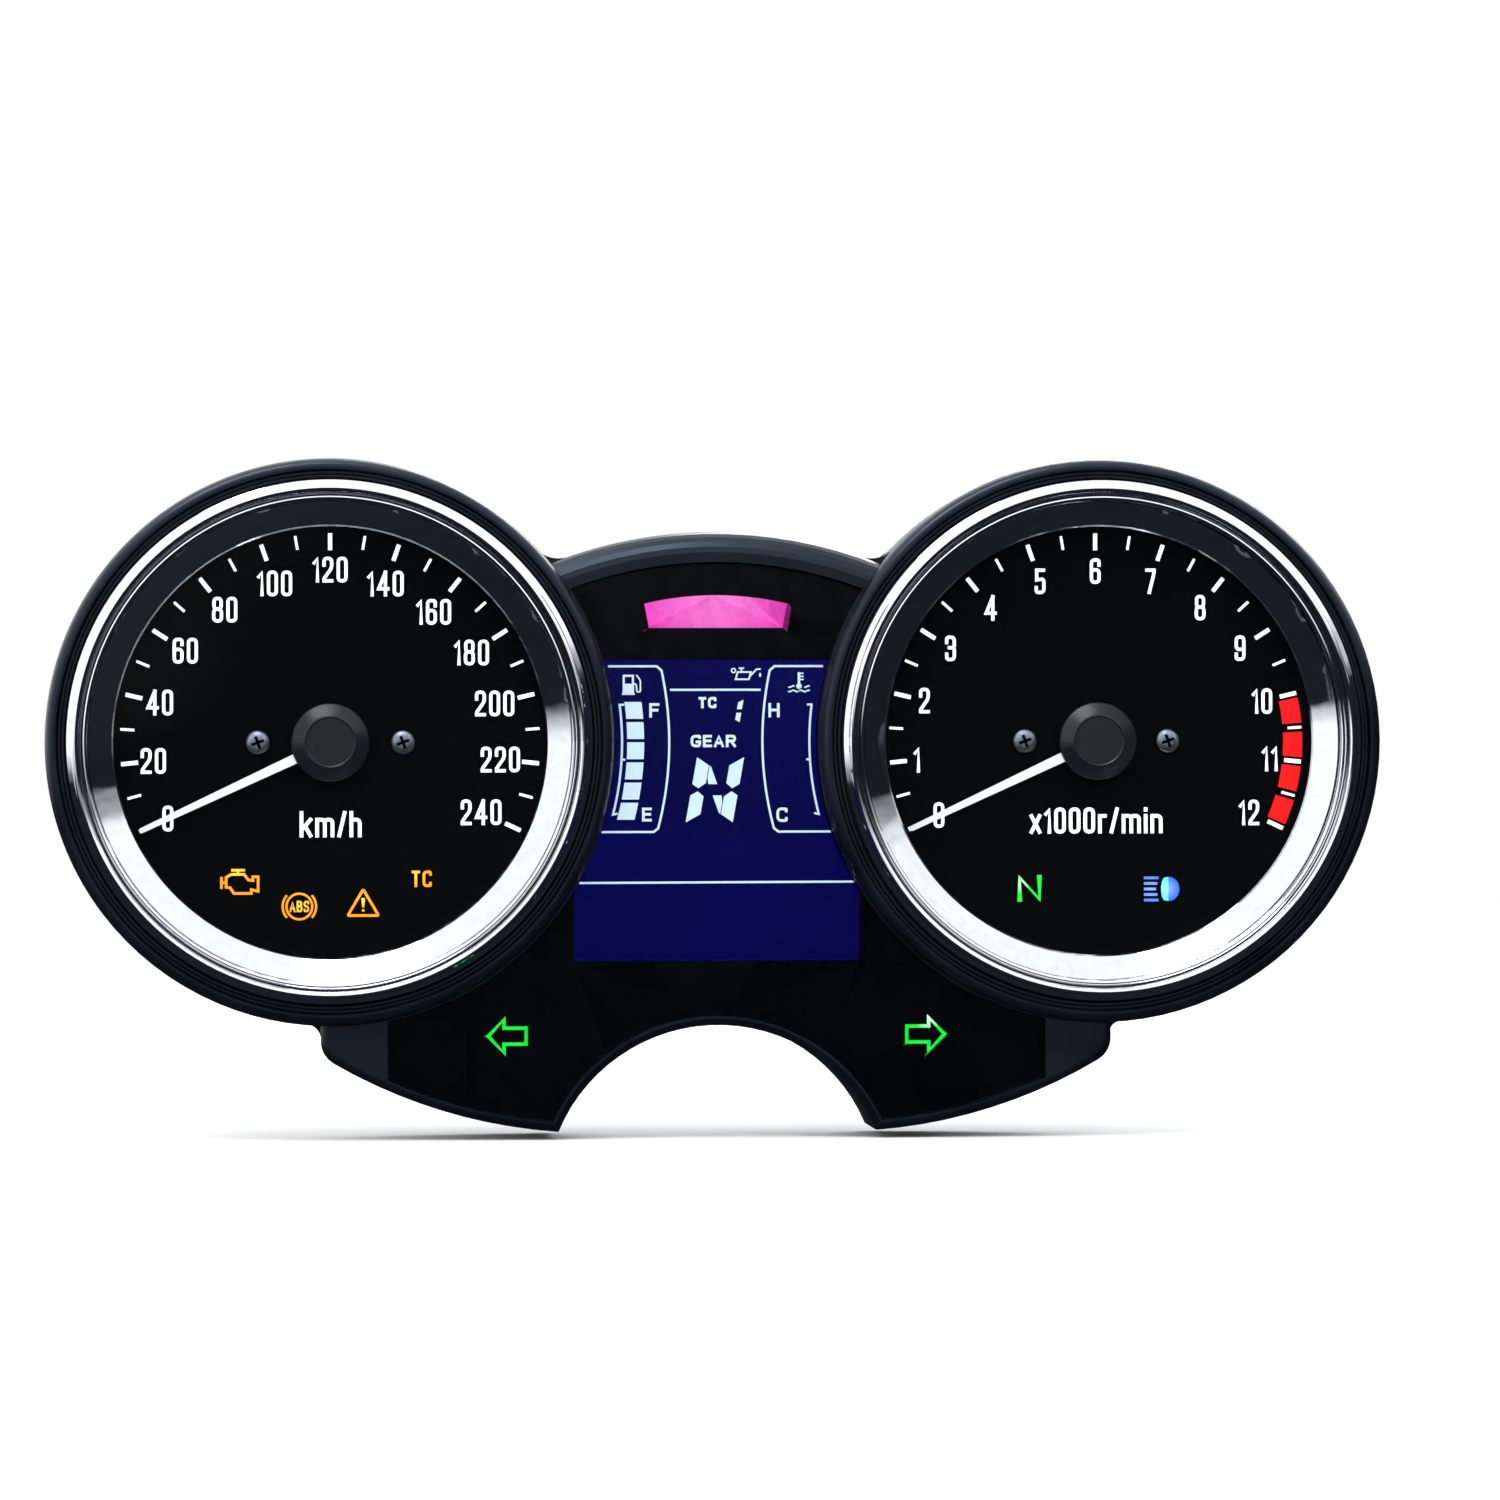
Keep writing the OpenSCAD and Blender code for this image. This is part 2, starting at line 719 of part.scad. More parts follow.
// Rubber cord in the joint between case and cover
module case_seal() {
    color([0.04, 0.04, 0.04]) upright() slab([case_top, split_h]) difference() {
        outline(0.5);
        outline(wall);
    }
}

// Self-tapping screws from the rear, each with a cross recess
module case_screws() {
    color([0.5, 0.5, 0.52]) upright() for (p = posts) translate(p) difference() {
        union() {
            drum(3, [screw_seat_h - 2, screw_seat_h]);
            drum(1.3, [screw_seat_h, ceiling_h - 4]);
        }
        for (turn = [0, 90]) rotate([0, 0, turn])
            slab([0, screw_seat_h - 1]) square([3.4, 0.8], center = true);
    }
}

// Breather plug in the rear wall
module vent_plug() {
    color([0.25, 0.25, 0.27]) upright() translate([17, 14, 0]) {
        drum(4, [box_h - 1.2, box_h]);
        drum(2.9, [box_h, box_h + wall]);
    }
}

// Flanged rubber grommets pressed into the mounting bosses
module mount_grommets() {
    color([0.05, 0.05, 0.05]) upright() for (p = mounts) translate(p) difference() {
        union() {
            drum(boss_r - 0.6, [1.2, boss_h]);
            drum(grommet_r, [boss_h, mount_depth + 1]);
        }
        drum(4.2, [0, mount_depth]);
    }
}

// Flanged steel sleeves tapped for the bracket's bolts
module mount_sleeves() {
    color([0.7, 0.7, 0.72]) upright() for (p = mounts) translate(p) difference() {
        union() {
            drum(7.5, [0, 1.2]);
            drum(4.2, [1.2, mount_depth]);
        }
        drum(mount_bore_r, [-1, mount_depth + 1]);
    }
}

// ---- pointers and motors -------------------------------------------------

// Turns a part to the pointer's resting angle
module at_rest() {
    rotate([0, 0, 180 + rest_angle]) children();
}

// Tapered white bar with a disc that grips the shaft
module needle(side) {
    tip = 40.8;
    color([0.95, 0.96, 0.97]) at_dial(side) difference() {
        at_rest() union() {
            slab(needle_h) polygon([[-6, -1.1], [-6, 1.1], [0, 1.05], [tip - 0.4, 0.5],
                                    [tip, 0.3], [tip, -0.3], [tip - 0.4, -0.5], [0, -1.05]]);
            drum(4.6, needle_h);
            drum(1.7, [needle_h[0] - 1.6, needle_h[1]]);
        }
        drum(shaft_r, [0, far]);
    }
}

// Cap with a sloping flank and a dished top that hides the pointer's hub
module needle_cap(side) {
    color([0.04, 0.045, 0.05]) at_dial(side) difference() {
        rotate_extrude() polygon([[0, cap_h[0]], [cap_r, cap_h[0]], [cap_r, cap_h[0] + 0.7],
            [cap_r - 0.2, cap_h[0] + 1], [cap_top_r + 0.3, cap_h[1] - 0.1], [cap_top_r, cap_h[1]],
            [cap_top_r - 0.3, cap_h[1] - 0.25], [0, cap_h[1] - 0.25]]);
        drum(shaft_r, [0, shaft_top]);
    }
}

// Outline of an involute gear; addendum and dedendum are in modules
module gear_shape(teeth, addendum, phase) {
    pitch_r = gear_module * teeth / 2;
    base_r = pitch_r * cos(20);
    root_r = pitch_r - 1.2 * gear_module;
    tip_r = pitch_r + addendum * gear_module;
    start_r = max(base_r, root_r);
    half = 90 / teeth - 0.035 / pitch_r * 180 / PI + involute(base_r, pitch_r);
    flank = [for (i = [0 : 3]) let (r = start_r + (tip_r - start_r) * i / 3) [r, half - involute(base_r, r)]];
    polygon([for (t = [0 : teeth - 1]) let (mid = t * 360 / teeth + phase) each concat(
        [root_r * [cos(mid - half), sin(mid - half)]],
        [for (f = flank) f[0] * [cos(mid - f[1]), sin(mid - f[1])]],
        [for (i = [3 : -1 : 0]) flank[i][0] * [cos(mid + flank[i][1]), sin(mid + flank[i][1])]],
        [root_r * [cos(mid + half), sin(mid + half)]])]);
}

module output_gear(side) {
    color([0.85, 0.83, 0.75]) at_dial(side) {
        slab(wheel_high_h) gear_shape(wheel_teeth, 0.55, 0);
        drum(shaft_r, [motor_h[0] + 0.2, wheel_high_h[0]]);
        drum(shaft_r, [wheel_high_h[1], shaft_top]);
    }
}

module idler_gear(side) {
    color([0.85, 0.83, 0.75]) at_dial(side) translate(idler_at) {
        slab(wheel_low_h) gear_shape(wheel_teeth, 0.55, 0);
        slab([wheel_low_h[1], wheel_high_h[1] + 0.1]) gear_shape(pinion_teeth, 0.85, 0);
        drum(idler_pin_r, [motor_h[0] + 0.2, wheel_low_h[0]]);
        drum(idler_pin_r, [wheel_high_h[1] + 0.1, lid_h[1] - 0.2]);
    }
}

// Two-pole magnet on the first pinion
module rotor(side) {
    color([0.35, 0.33, 0.33]) at_dial(side) translate(rotor_at) {
        drum(magnet_r, [28.4, 30.8]);
        slab([30.8, wheel_high_h[0] - 0.4]) gear_shape(pinion_teeth, 0.85, rotor_phase);
        drum(rotor_pin_r, [motor_h[0] + 0.2, 28.4]);
        drum(rotor_pin_r, [wheel_high_h[0] - 0.4, lid_h[1] - 0.2]);
    }
}

// Bearing holes of the three shafts
module motor_bearings() {
    drum(shaft_r + pin_play, [0, far]);
    translate(idler_at) drum(idler_pin_r + pin_play, [0, far]);
    translate(rotor_at) drum(rotor_pin_r + pin_play, [0, far]);
}

module motor_case(side) {
    color([0.12, 0.12, 0.13]) at_dial(side) difference() {
        slab([motor_h[0], lid_h[0]]) span(motor_x, motor_y);
        slab([motor_h[0] + motor_wall, far])
            span(motor_x + motor_wall * [1, -1], motor_y + motor_wall * [1, -1]);
        motor_bearings();
    }
}

module motor_lid(side) {
    color([0.15, 0.15, 0.16]) at_dial(side) difference() {
        slab(lid_h) span(motor_x, motor_y);
        motor_bearings();
    }
}

// Laminated yoke: a pole ring round the magnet and an arm through both coils
module motor_stator(side) {
    color([0.6, 0.6, 0.6]) at_dial(side) slab(stator_h) difference() {
        union() {
            translate(rotor_at) circle(4.6);
            span([rotor_at.x, coil_x], [rotor_at.y - 1.6, rotor_at.y + 1.6]);
            span([coil_x - 1, coil_x + 1], [coil_y[0][0] - 1.2, coil_y[1][1] + 1.2]);
        }
        translate(rotor_at) circle(3.3);
    }
}

module motor_coils(side) {
    mid_h = (stator_h[0] + stator_h[1]) / 2;
    color([0.7, 0.35, 0.15]) at_dial(side) for (y = coil_y)
        difference() {
            translate([coil_x, y[1], mid_h]) rotate([90, 0, 0]) cylinder(r = coil_r, h = y[1] - y[0]);
            slab([stator_h[0] - 0.05, stator_h[1] + 0.05]) span([coil_x - 1.05, coil_x + 1.05], y + [-1, 1]);
        }
}

// ---- assembly ------------------------------------------------------------

front_cover();
bezel_ring(-1);  // speedo_bezel
bezel_ring(1);  // tacho_bezel
lens(-1);  // speedo_lens
lens(1);  // tacho_lens
lens_seal(-1);  // speedo_lens_seal
lens_seal(1);  // tacho_lens_seal
reflector(-1);  // speedo_reflector
reflector(1);  // tacho_reflector
centre_window();
centre_mask();
warning_light_pipe();
turn_light_pipes();
dial(-1);  // speedo_dial
dial(1);  // tacho_dial
dial_screws();
light_guide(-1);  // speedo_light_guide
light_guide(1);  // tacho_light_guide
lcd_panel();
lcd_frame();
lcd_backlight();
lcd_contact_strips();
inner_frame();
circuit_board();
board_leds();
board_chips();
board_screws();
rear_case();
case_seal();
case_screws();
socket_shell();
socket_pins();
vent_plug();
mount_grommets();
mount_sleeves();
needle(-1);  // speedo_needle
needle_cap(-1);  // speedo_needle_cap
needle(1);  // tacho_needle
needle_cap(1);  // tacho_needle_cap
motor_case(-1);  // speedo_motor_case
motor_lid(-1);  // speedo_motor_lid
motor_stator(-1);  // speedo_motor_stator
motor_coils(-1);  // speedo_motor_coils
rotor(-1);  // speedo_rotor
idler_gear(-1);  // speedo_idler_gear
output_gear(-1);  // speedo_output_gear
motor_case(1);  // tacho_motor_case
motor_lid(1);  // tacho_motor_lid
motor_stator(1);  // tacho_motor_stator
motor_coils(1);  // tacho_motor_coils
rotor(1);  // tacho_rotor
idler_gear(1);  // tacho_idler_gear
output_gear(1);  // tacho_output_gear
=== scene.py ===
"""Looks of a twin-dial motorcycle instrument cluster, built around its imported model.

X runs to the rider's right, Y away from the rider and Z up the dials, with both dial centres at Z = 0.
Drawn shapes are given in millimetres as (x, z) on a face of the cluster, and a height is how far
forward of the mounting plane they stand, so a point (x, z) at height h lies at (x, -h, z).
"""
import functools
import logging
import math
from dataclasses import dataclass, field
from enum import Enum

import bpy
import numpy as np
from mathutils import Matrix, Vector


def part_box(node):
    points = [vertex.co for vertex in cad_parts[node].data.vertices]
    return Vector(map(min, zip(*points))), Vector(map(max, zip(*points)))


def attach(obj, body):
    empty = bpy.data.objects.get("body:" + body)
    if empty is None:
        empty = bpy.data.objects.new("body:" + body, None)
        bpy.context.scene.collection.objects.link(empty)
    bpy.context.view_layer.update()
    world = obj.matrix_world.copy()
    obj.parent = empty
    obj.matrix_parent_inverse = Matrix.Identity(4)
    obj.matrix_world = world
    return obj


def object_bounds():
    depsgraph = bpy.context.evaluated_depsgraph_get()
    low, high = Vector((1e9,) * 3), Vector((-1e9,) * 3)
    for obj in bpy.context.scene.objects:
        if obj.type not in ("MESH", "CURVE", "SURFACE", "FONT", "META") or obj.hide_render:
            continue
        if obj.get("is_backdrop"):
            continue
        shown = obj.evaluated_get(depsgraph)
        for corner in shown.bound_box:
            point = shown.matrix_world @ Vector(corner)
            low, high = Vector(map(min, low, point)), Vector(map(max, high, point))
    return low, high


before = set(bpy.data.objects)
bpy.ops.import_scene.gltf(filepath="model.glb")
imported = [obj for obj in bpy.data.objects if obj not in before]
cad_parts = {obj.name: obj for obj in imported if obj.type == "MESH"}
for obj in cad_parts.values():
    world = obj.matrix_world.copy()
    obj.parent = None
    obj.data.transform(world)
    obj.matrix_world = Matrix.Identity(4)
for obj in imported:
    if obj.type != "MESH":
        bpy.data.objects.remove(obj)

LOG = logging.getLogger("cluster")
MM = 0.001
HOUSING = "housing"
SINK = 0.02       # how far a drawn solid reaches into its face, in millimetres
LIFT = 0.003      # how much higher each next solid stands
LIFT_STEPS = 12   # after which the lift starts again


# ---- colours and nodes ----------------------------------------------------


def linear(code: str) -> tuple[float, float, float, float]:
    """Turns an sRGB hex colour into the linear values that shaders take.

    Args:
        code: six hex digits with a leading #.

    Returns:
        Red, green, blue and an alpha of 1.
    """
    channels = [int(code[i:i + 2], 16) / 255 for i in (1, 3, 5)]
    curve = [c / 12.92 if c <= 0.04045 else ((c + 0.055) / 1.055) ** 2.4 for c in channels]
    return (*curve, 1.0)


def add_node(tree: bpy.types.NodeTree, kind: str, settings: dict | None = None,
             links: dict | None = None) -> bpy.types.Node:
    """Adds one node with its settings and links.

    Args:
        tree: the node tree it goes into.
        kind: the node's type name after ShaderNode.
        settings: values by the name of a node property, or by the name or index of an input.
        links: output sockets by the name or index of the input that each one feeds.

    Returns:
        The new node.
    """
    node = tree.nodes.new("ShaderNode" + kind)
    for key, value in (settings or {}).items():
        if isinstance(key, str) and hasattr(node, key):
            setattr(node, key, value)
        else:
            node.inputs[key].default_value = value
    for key, socket in (links or {}).items():
        tree.links.new(socket, node.inputs[key])
    return node


def add_math(tree: bpy.types.NodeTree, operation: str, values: dict, links: dict) -> bpy.types.NodeSocket:
    """Adds a Math node, in the terms of add_node, and returns its result."""
    return add_node(tree, "Math", {"operation": operation, **values}, links).outputs[0]


def per_mm(size_mm: float) -> float:
    """Returns the texture scale, for Object coordinates in metres, of a pattern of that size."""
    return 1 / (size_mm * MM)


class Pattern:
    """Starts a material and gives the noise patterns that its finish is made from."""

    def __init__(self, name: str) -> None:
        """Makes an empty node material.

        Args:
            name: the material's name.
        """
        self.material = bpy.data.materials.new(name)
        self.material.use_nodes = True
        self.tree = self.material.node_tree
        self.tree.nodes.clear()
        self.output = add_node(self.tree, "OutputMaterial")
        self.place = add_node(self.tree, "TexCoord").outputs["Object"]

    def noise(self, size_mm: float, detail: float = 2.0,
              stretch: tuple[float, float, float] = (1, 1, 1)) -> bpy.types.NodeSocket:
        """Returns a grey noise pattern.

        Args:
            size_mm: size of its blotches.
            detail: how many finer octaves it has.
            stretch: scale along X, Y and Z, for drawn or brushed patterns.
        """
        place = add_node(self.tree, "Mapping", {"Scale": stretch}, {"Vector": self.place})
        return add_node(self.tree, "TexNoise", {"Scale": per_mm(size_mm), "Detail": detail},
                        {"Vector": place.outputs[0]}).outputs[0]

    def between(self, value: bpy.types.NodeSocket, low: float, high: float,
                start: float = 0.3, end: float = 0.7) -> bpy.types.NodeSocket:
        """Returns a value moved from the range start to end into the range low to high."""
        return add_node(self.tree, "MapRange",
                        {"From Min": start, "From Max": end, "To Min": low, "To Max": high},
                        {"Value": value}).outputs[0]

    def blend(self, share: bpy.types.NodeSocket, first: str, second: str) -> bpy.types.NodeSocket:
        """Returns a colour between two hex colours, by share."""
        return add_node(self.tree, "Mix",
                        {"data_type": "RGBA", 6: linear(first), 7: linear(second)}, {0: share}).outputs[2]

    def bump(self, height: bpy.types.NodeSocket, depth_mm: float,
             strength: float = 1.0) -> bpy.types.NodeSocket:
        """Returns the normal of a relief of that depth."""
        return add_node(self.tree, "Bump", {"Distance": depth_mm * MM, "Strength": strength},
                        {"Height": height}).outputs[0]

    def principled(self, settings: dict, links: dict) -> bpy.types.Material:
        """Ends the material with a Principled shader and returns it."""
        shader = add_node(self.tree, "BsdfPrincipled", settings, links)
        self.tree.links.new(shader.outputs[0], self.output.inputs[0])
        return self.material


# ---- finishes -------------------------------------------------------------


@dataclass(frozen=True)
class MouldedPlastic:
    """Injection-moulded ABS or PBT: a spark-eroded grain breaks the gloss into a satin sheen."""

    name: str
    colour: str
    worn: str
    roughness: float = 0.42
    grain_mm: float = 0.45
    depth_mm: float = 0.02
    # colour of the reflections; a blue one is a painted reflection colour that stands in for a bluish sky
    sheen: str = "#FFFFFF"

    def build(self) -> bpy.types.Material:
        """Returns the material: grain relief, with handling sheen in soft patches."""
        p = Pattern(self.name)
        patch = p.noise(14)
        return p.principled(
            {"IOR": 1.5, "Specular Tint": linear(self.sheen)},
            {"Base Color": p.blend(p.between(patch, 0, 1), self.colour, self.worn),
             "Roughness": p.between(patch, self.roughness - 0.05, self.roughness + 0.06),
             "Normal": p.bump(p.noise(self.grain_mm, 3), self.depth_mm, 0.5)})


@dataclass(frozen=True)
class GlossPlastic:
    """Polished black or coloured plastic: sharp reflections with a faint orange peel."""

    name: str
    colour: str
    other: str
    roughness: float = 0.12

    def build(self) -> bpy.types.Material:
        """Returns the material: slow waves from the mould and a little haze."""
        p = Pattern(self.name)
        haze = p.noise(3, 4)
        return p.principled(
            {"IOR": 1.49},
            {"Base Color": p.blend(haze, self.colour, self.other),
             "Roughness": p.between(haze, self.roughness, self.roughness + 0.06),
             "Normal": p.bump(p.noise(9, 1), 0.03, 0.25)})


@dataclass(frozen=True)
class PlatedChrome:
    """Chrome plate over moulded ABS: mirror bright, bent slightly by the mould's ripple."""

    name: str
    colour: str = "#E9ECF0"
    roughness: float = 0.035
    ripple_mm: float = 7.0
    depth_mm: float = 0.02

    def build(self) -> bpy.types.Material:
        """Returns the material: a mirror with a slow ripple and a trace of polishing haze."""
        p = Pattern(self.name)
        haze = p.noise(2, 3)
        return p.principled(
            {"Metallic": 1.0},
            {"Base Color": p.blend(haze, self.colour, "#DCE1E8"),
             "Roughness": p.between(haze, self.roughness, self.roughness + 0.03),
             "Normal": p.bump(p.noise(self.ripple_mm, 1), self.depth_mm, 0.5)})


@dataclass(frozen=True)
class ClearPlate:
    """Clear polycarbonate with a hard coat: seen through, with a mirror film on its two faces."""

    name: str
    tint: str = "#F6F9FB"

    def build(self) -> bpy.types.Material:
        """Returns the material: see-through, with a Fresnel share of gloss on faces met from outside."""
        p = Pattern(self.name)
        through = add_node(p.tree, "BsdfTransparent", {"Color": linear(self.tint)})
        gloss = add_node(p.tree, "BsdfGlossy", {"Color": linear("#FFFFFF")},
                         {"Roughness": p.between(p.noise(4, 4), 0.01, 0.04)})
        edge = add_node(p.tree, "Fresnel", {"IOR": 1.45})
        inside = add_node(p.tree, "NewGeometry").outputs["Backfacing"]
        outer = add_math(p.tree, "SUBTRACT", {0: 1.0}, {1: inside})
        share = add_math(p.tree, "MULTIPLY", {}, {0: edge.outputs[0], 1: outer})
        mixed = add_node(p.tree, "MixShader", None,
                         {0: share, 1: through.outputs[0], 2: gloss.outputs[0]})
        p.tree.links.new(mixed.outputs[0], p.output.inputs[0])
        return p.material


@dataclass(frozen=True)
class MouldedRubber:
    """Black EPDM or silicone: matt, with a chalky bloom."""

    name: str
    colour: str = "#101112"
    bloom: str = "#1C1E20"

    def build(self) -> bpy.types.Material:
        """Returns the material: matt with a fine skin texture."""
        p = Pattern(self.name)
        bloom = p.noise(1.8, 4)
        return p.principled(
            {"IOR": 1.5},
            {"Base Color": p.blend(bloom, self.colour, self.bloom),
             "Roughness": p.between(bloom, 0.68, 0.86),
             "Normal": p.bump(p.noise(0.3, 3), 0.015, 0.5)})


@dataclass(frozen=True)
class ScreenPrint:
    """Screen-printed polycarbonate or ink: even and matt, with the mesh's faint mottle."""

    name: str
    colour: str
    mottle: str
    glow: float = 0.0
    roughness: float = 0.55
    sheen: float = 0.3

    def build(self) -> bpy.types.Material:
        """Returns the material; glow is the light that the ink passes from the guide behind it, and on the
        white ink it is raised further as painted light that brightens the print.
        """
        p = Pattern(self.name)
        mesh = p.noise(0.35, 2)
        return p.principled(
            {"IOR": 1.46, "Specular IOR Level": self.sheen, "Emission Color": linear(self.colour),
             "Emission Strength": self.glow},
            {"Base Color": p.blend(mesh, self.colour, self.mottle),
             "Roughness": p.between(mesh, self.roughness - 0.05, self.roughness + 0.08),
             "Normal": p.bump(mesh, 0.006, 0.4)})


@dataclass(frozen=True)
class LitWindow:
    """Tinted acrylic or film with a lamp behind it: whiter where the lamp shines straight through."""

    name: str
    colour: str
    hot: str
    hot_at: tuple[float, float, float]
    hot_radius_mm: float
    strength: float = 1.15

    def build(self) -> bpy.types.Material:
        """Returns the material: the glow fades from the lamp's spot by distance in millimetres."""
        p = Pattern(self.name)
        far = add_node(p.tree, "VectorMath",
                       {"operation": "DISTANCE", 1: [c * MM for c in self.hot_at]}, {0: p.place})
        share = p.between(far.outputs["Value"], 1, 0, 0.15 * self.hot_radius_mm * MM,
                          self.hot_radius_mm * MM)
        glow = p.blend(share, self.colour, self.hot)
        return p.principled(
            {"IOR": 1.49, "Roughness": 0.25, "Emission Strength": self.strength},
            {"Base Color": p.blend(p.noise(0.8, 2), self.colour, "#1C1C1E"), "Emission Color": glow})


@dataclass(frozen=True)
class LiquidCrystal:
    """Negative display glass over a blue backlight: deep blue, a little brighter near its lamps."""

    name: str = "display_glass"
    dark: str = "#00004C"
    light: str = "#02005E"

    def build(self) -> bpy.types.Material:
        """Returns the material: soft unevenness of the backlight under a gloss polariser."""
        p = Pattern(self.name)
        glow = p.blend(p.between(p.noise(22, 1), 0, 1), self.dark, self.light)
        return p.principled(
            {"IOR": 1.5, "Roughness": 0.18, "Emission Strength": 0.95},
            {"Base Color": p.blend(p.noise(0.4, 2), "#03020C", "#05041A"), "Emission Color": glow})


@dataclass(frozen=True)
class PlatedSteel:
    """Zinc-plated, tinned or laminated steel: grey metal with drawn streaks."""

    name: str
    colour: str
    dull: str
    roughness: float = 0.3
    stretch: tuple[float, float, float] = (1, 0.1, 1)
    # painted shade: below this height the colour is darkened to near black, fading in over the next value,
    # to shade a recess
    recess_h: float | None = None
    recess_fade_mm: float = 0.25

    def build(self) -> bpy.types.Material:
        """Returns the material: streaks in colour and roughness along the drawn direction, and painted
        shade that turns the colour near black in a recess below a given height."""
        p = Pattern(self.name)
        streak = p.noise(0.5, 3, self.stretch)
        colour = p.blend(streak, self.colour, self.dull)
        # painted shade: darkens the colour towards near black below the recess height
        if self.recess_h is not None:
            behind = add_node(p.tree, "SeparateXYZ", None, {0: p.place}).outputs[1]
            depth = p.between(behind, 0, 1, -(self.recess_h + self.recess_fade_mm) * MM,
                              -self.recess_h * MM)
            colour = add_node(p.tree, "Mix", {"data_type": "RGBA", 7: linear("#050607")},
                              {0: depth, 6: colour}).outputs[2]
        return p.principled(
            {"Metallic": 1.0},
            {"Base Color": colour,
             "Roughness": p.between(streak, self.roughness - 0.06, self.roughness + 0.12),
             "Normal": p.bump(streak, 0.008, 0.4)})


@dataclass(frozen=True)
class CircuitLaminate:
    """Glass-epoxy board under green solder mask: copper tracks show as paler green lines."""

    name: str = "board_green"
    track_mm: float = 1.6

    def build(self) -> bpy.types.Material:
        """Returns the material: square cells give the tracks, and they stand proud of the board."""
        p = Pattern(self.name)
        cells = add_node(p.tree, "TexVoronoi",
                         {"distance": "CHEBYCHEV", "feature": "F1", "Scale": per_mm(self.track_mm * 2.2)},
                         {"Vector": p.place})
        track = p.between(cells.outputs["Distance"], 0, 1, 0.42, 0.46)
        return p.principled(
            {"IOR": 1.52, "Roughness": 0.3},
            {"Base Color": p.blend(track, "#0B4A2A", "#1B6B3C"), "Normal": p.bump(track, 0.03, 0.6)})


@dataclass(frozen=True)
class EnamelledWire:
    """Enamelled copper wound side by side: fine ribs run round each coil."""

    name: str = "coil_copper"
    wire_mm: float = 0.25

    def build(self) -> bpy.types.Material:
        """Returns the material: bands one wire wide across the coil's length."""
        p = Pattern(self.name)
        wires = add_node(p.tree, "TexWave",
                         {"bands_direction": "Z", "Scale": per_mm(self.wire_mm) / 20}, {"Vector": p.place})
        return p.principled(
            {"Metallic": 1.0, "Roughness": 0.32},
            {"Base Color": p.blend(wires.outputs[1], "#8A4420", "#C8713A"),
             "Normal": p.bump(wires.outputs[1], 0.05, 0.7)})


Finish = (MouldedPlastic | GlossPlastic | PlatedChrome | ClearPlate | MouldedRubber | ScreenPrint
          | LitWindow | LiquidCrystal | PlatedSteel | CircuitLaminate | EnamelledWire)


@functools.cache
def material_of(finish: Finish) -> bpy.types.Material:
    """Returns the material of a finish, made once however many parts share it."""
    return finish.build()


# the cover's blue reflection tint #B9D2F0 is a painted reflection colour, standing in for a bluish sky
COVER_ABS = MouldedPlastic("cover_plastic", "#06090E", "#0B0F16", 0.3, 0.5, 0.02, "#B9D2F0")
CASE_ABS = MouldedPlastic("case_plastic", "#141518", "#1C1E22", 0.5, 0.8, 0.06)
BEZEL_CHROME = PlatedChrome("bezel_chrome")
REFLECTOR_CHROME = PlatedChrome("reflector_chrome", "#F7F8FA", 0.025, 5.0, 0.05)
LENS_CLEAR = ClearPlate("clear_lens", "#FDFEFE")
WINDOW_CLEAR = ClearPlate("window_plastic", "#E6EAEE")
MASK_BLACK = GlossPlastic("mask_black", "#050608", "#07090C", 0.1)
SEAL_RUBBER = MouldedRubber("seal_rubber")
DIAL_BLACK = ScreenPrint("dial_black", "#020303", "#040506", sheen=0.05)
# white ink glow: partly backlight from the guide, partly painted light that brightens the print
WHITE_INK = ScreenPrint("white_ink", "#F4F7F8", "#E9EEF0", 0.75)
RED_INK = ScreenPrint("red_ink", "#D80202", "#CC0404", 0.6)
SEGMENT_INK = ScreenPrint("display_segment", "#DCEBEE", "#D2E4E8", 0.8)
NEEDLE_WHITE = GlossPlastic("needle_white", "#F4F6F7", "#E8ECEE", 0.3)
CAP_BLACK = GlossPlastic("cap_black", "#0D1015", "#12161D", 0.28)
# painted shade: the cross recess of these screws is darkened below a height of 49.75 mm
DIAL_SCREW = PlatedSteel("dial_screw_grey", "#A4B0C0", "#7A8593", 0.38, (1, 1, 1), 49.75)
GUIDE_CLEAR = ClearPlate("guide_acrylic", "#E4F0F4")
WHITE_PC = MouldedPlastic("white_plastic", "#DEDEDA", "#D2D2CD", 0.45)
CONTACT_RUBBER = MouldedRubber("contact_rubber", "#8C8C88", "#A2A29E")
BOARD = CircuitLaminate()
LAMP_RESIN = GlossPlastic("lamp_resin", "#E8DE9A", "#F2EBC0", 0.1)
CHIP_EPOXY = MouldedPlastic("chip_black", "#17181A", "#1E1F22", 0.5, 0.2, 0.01)
ZINC_SCREW = PlatedSteel("screw_zinc", "#CACDD1", "#A6AAAF", 0.48)
SOCKET_PBT = MouldedPlastic("socket_plastic", "#1D1E21", "#26282B", 0.48, 0.5, 0.03)
TINNED_PIN = PlatedSteel("pin_tin", "#D9CBA0", "#B7A878", 0.25)
VENT_PP = MouldedPlastic("vent_plastic", "#3C3D40", "#47494C", 0.5, 0.4, 0.02)
GROMMET_EPDM = MouldedRubber("grommet_rubber")
SLEEVE_STEEL = PlatedSteel("sleeve_steel", "#D2D5D9", "#B4B8BD", 0.5)
MOTOR_PBT = MouldedPlastic("motor_plastic", "#222326", "#2B2D30", 0.45, 0.3, 0.02)
STATOR_STEEL = PlatedSteel("stator_steel", "#8E9298", "#6B6F75", 0.4, (1, 6, 1))
COIL_COPPER = EnamelledWire()
ROTOR_FERRITE = MouldedPlastic("rotor_magnet", "#3A3738", "#444142", 0.5, 0.2, 0.02)
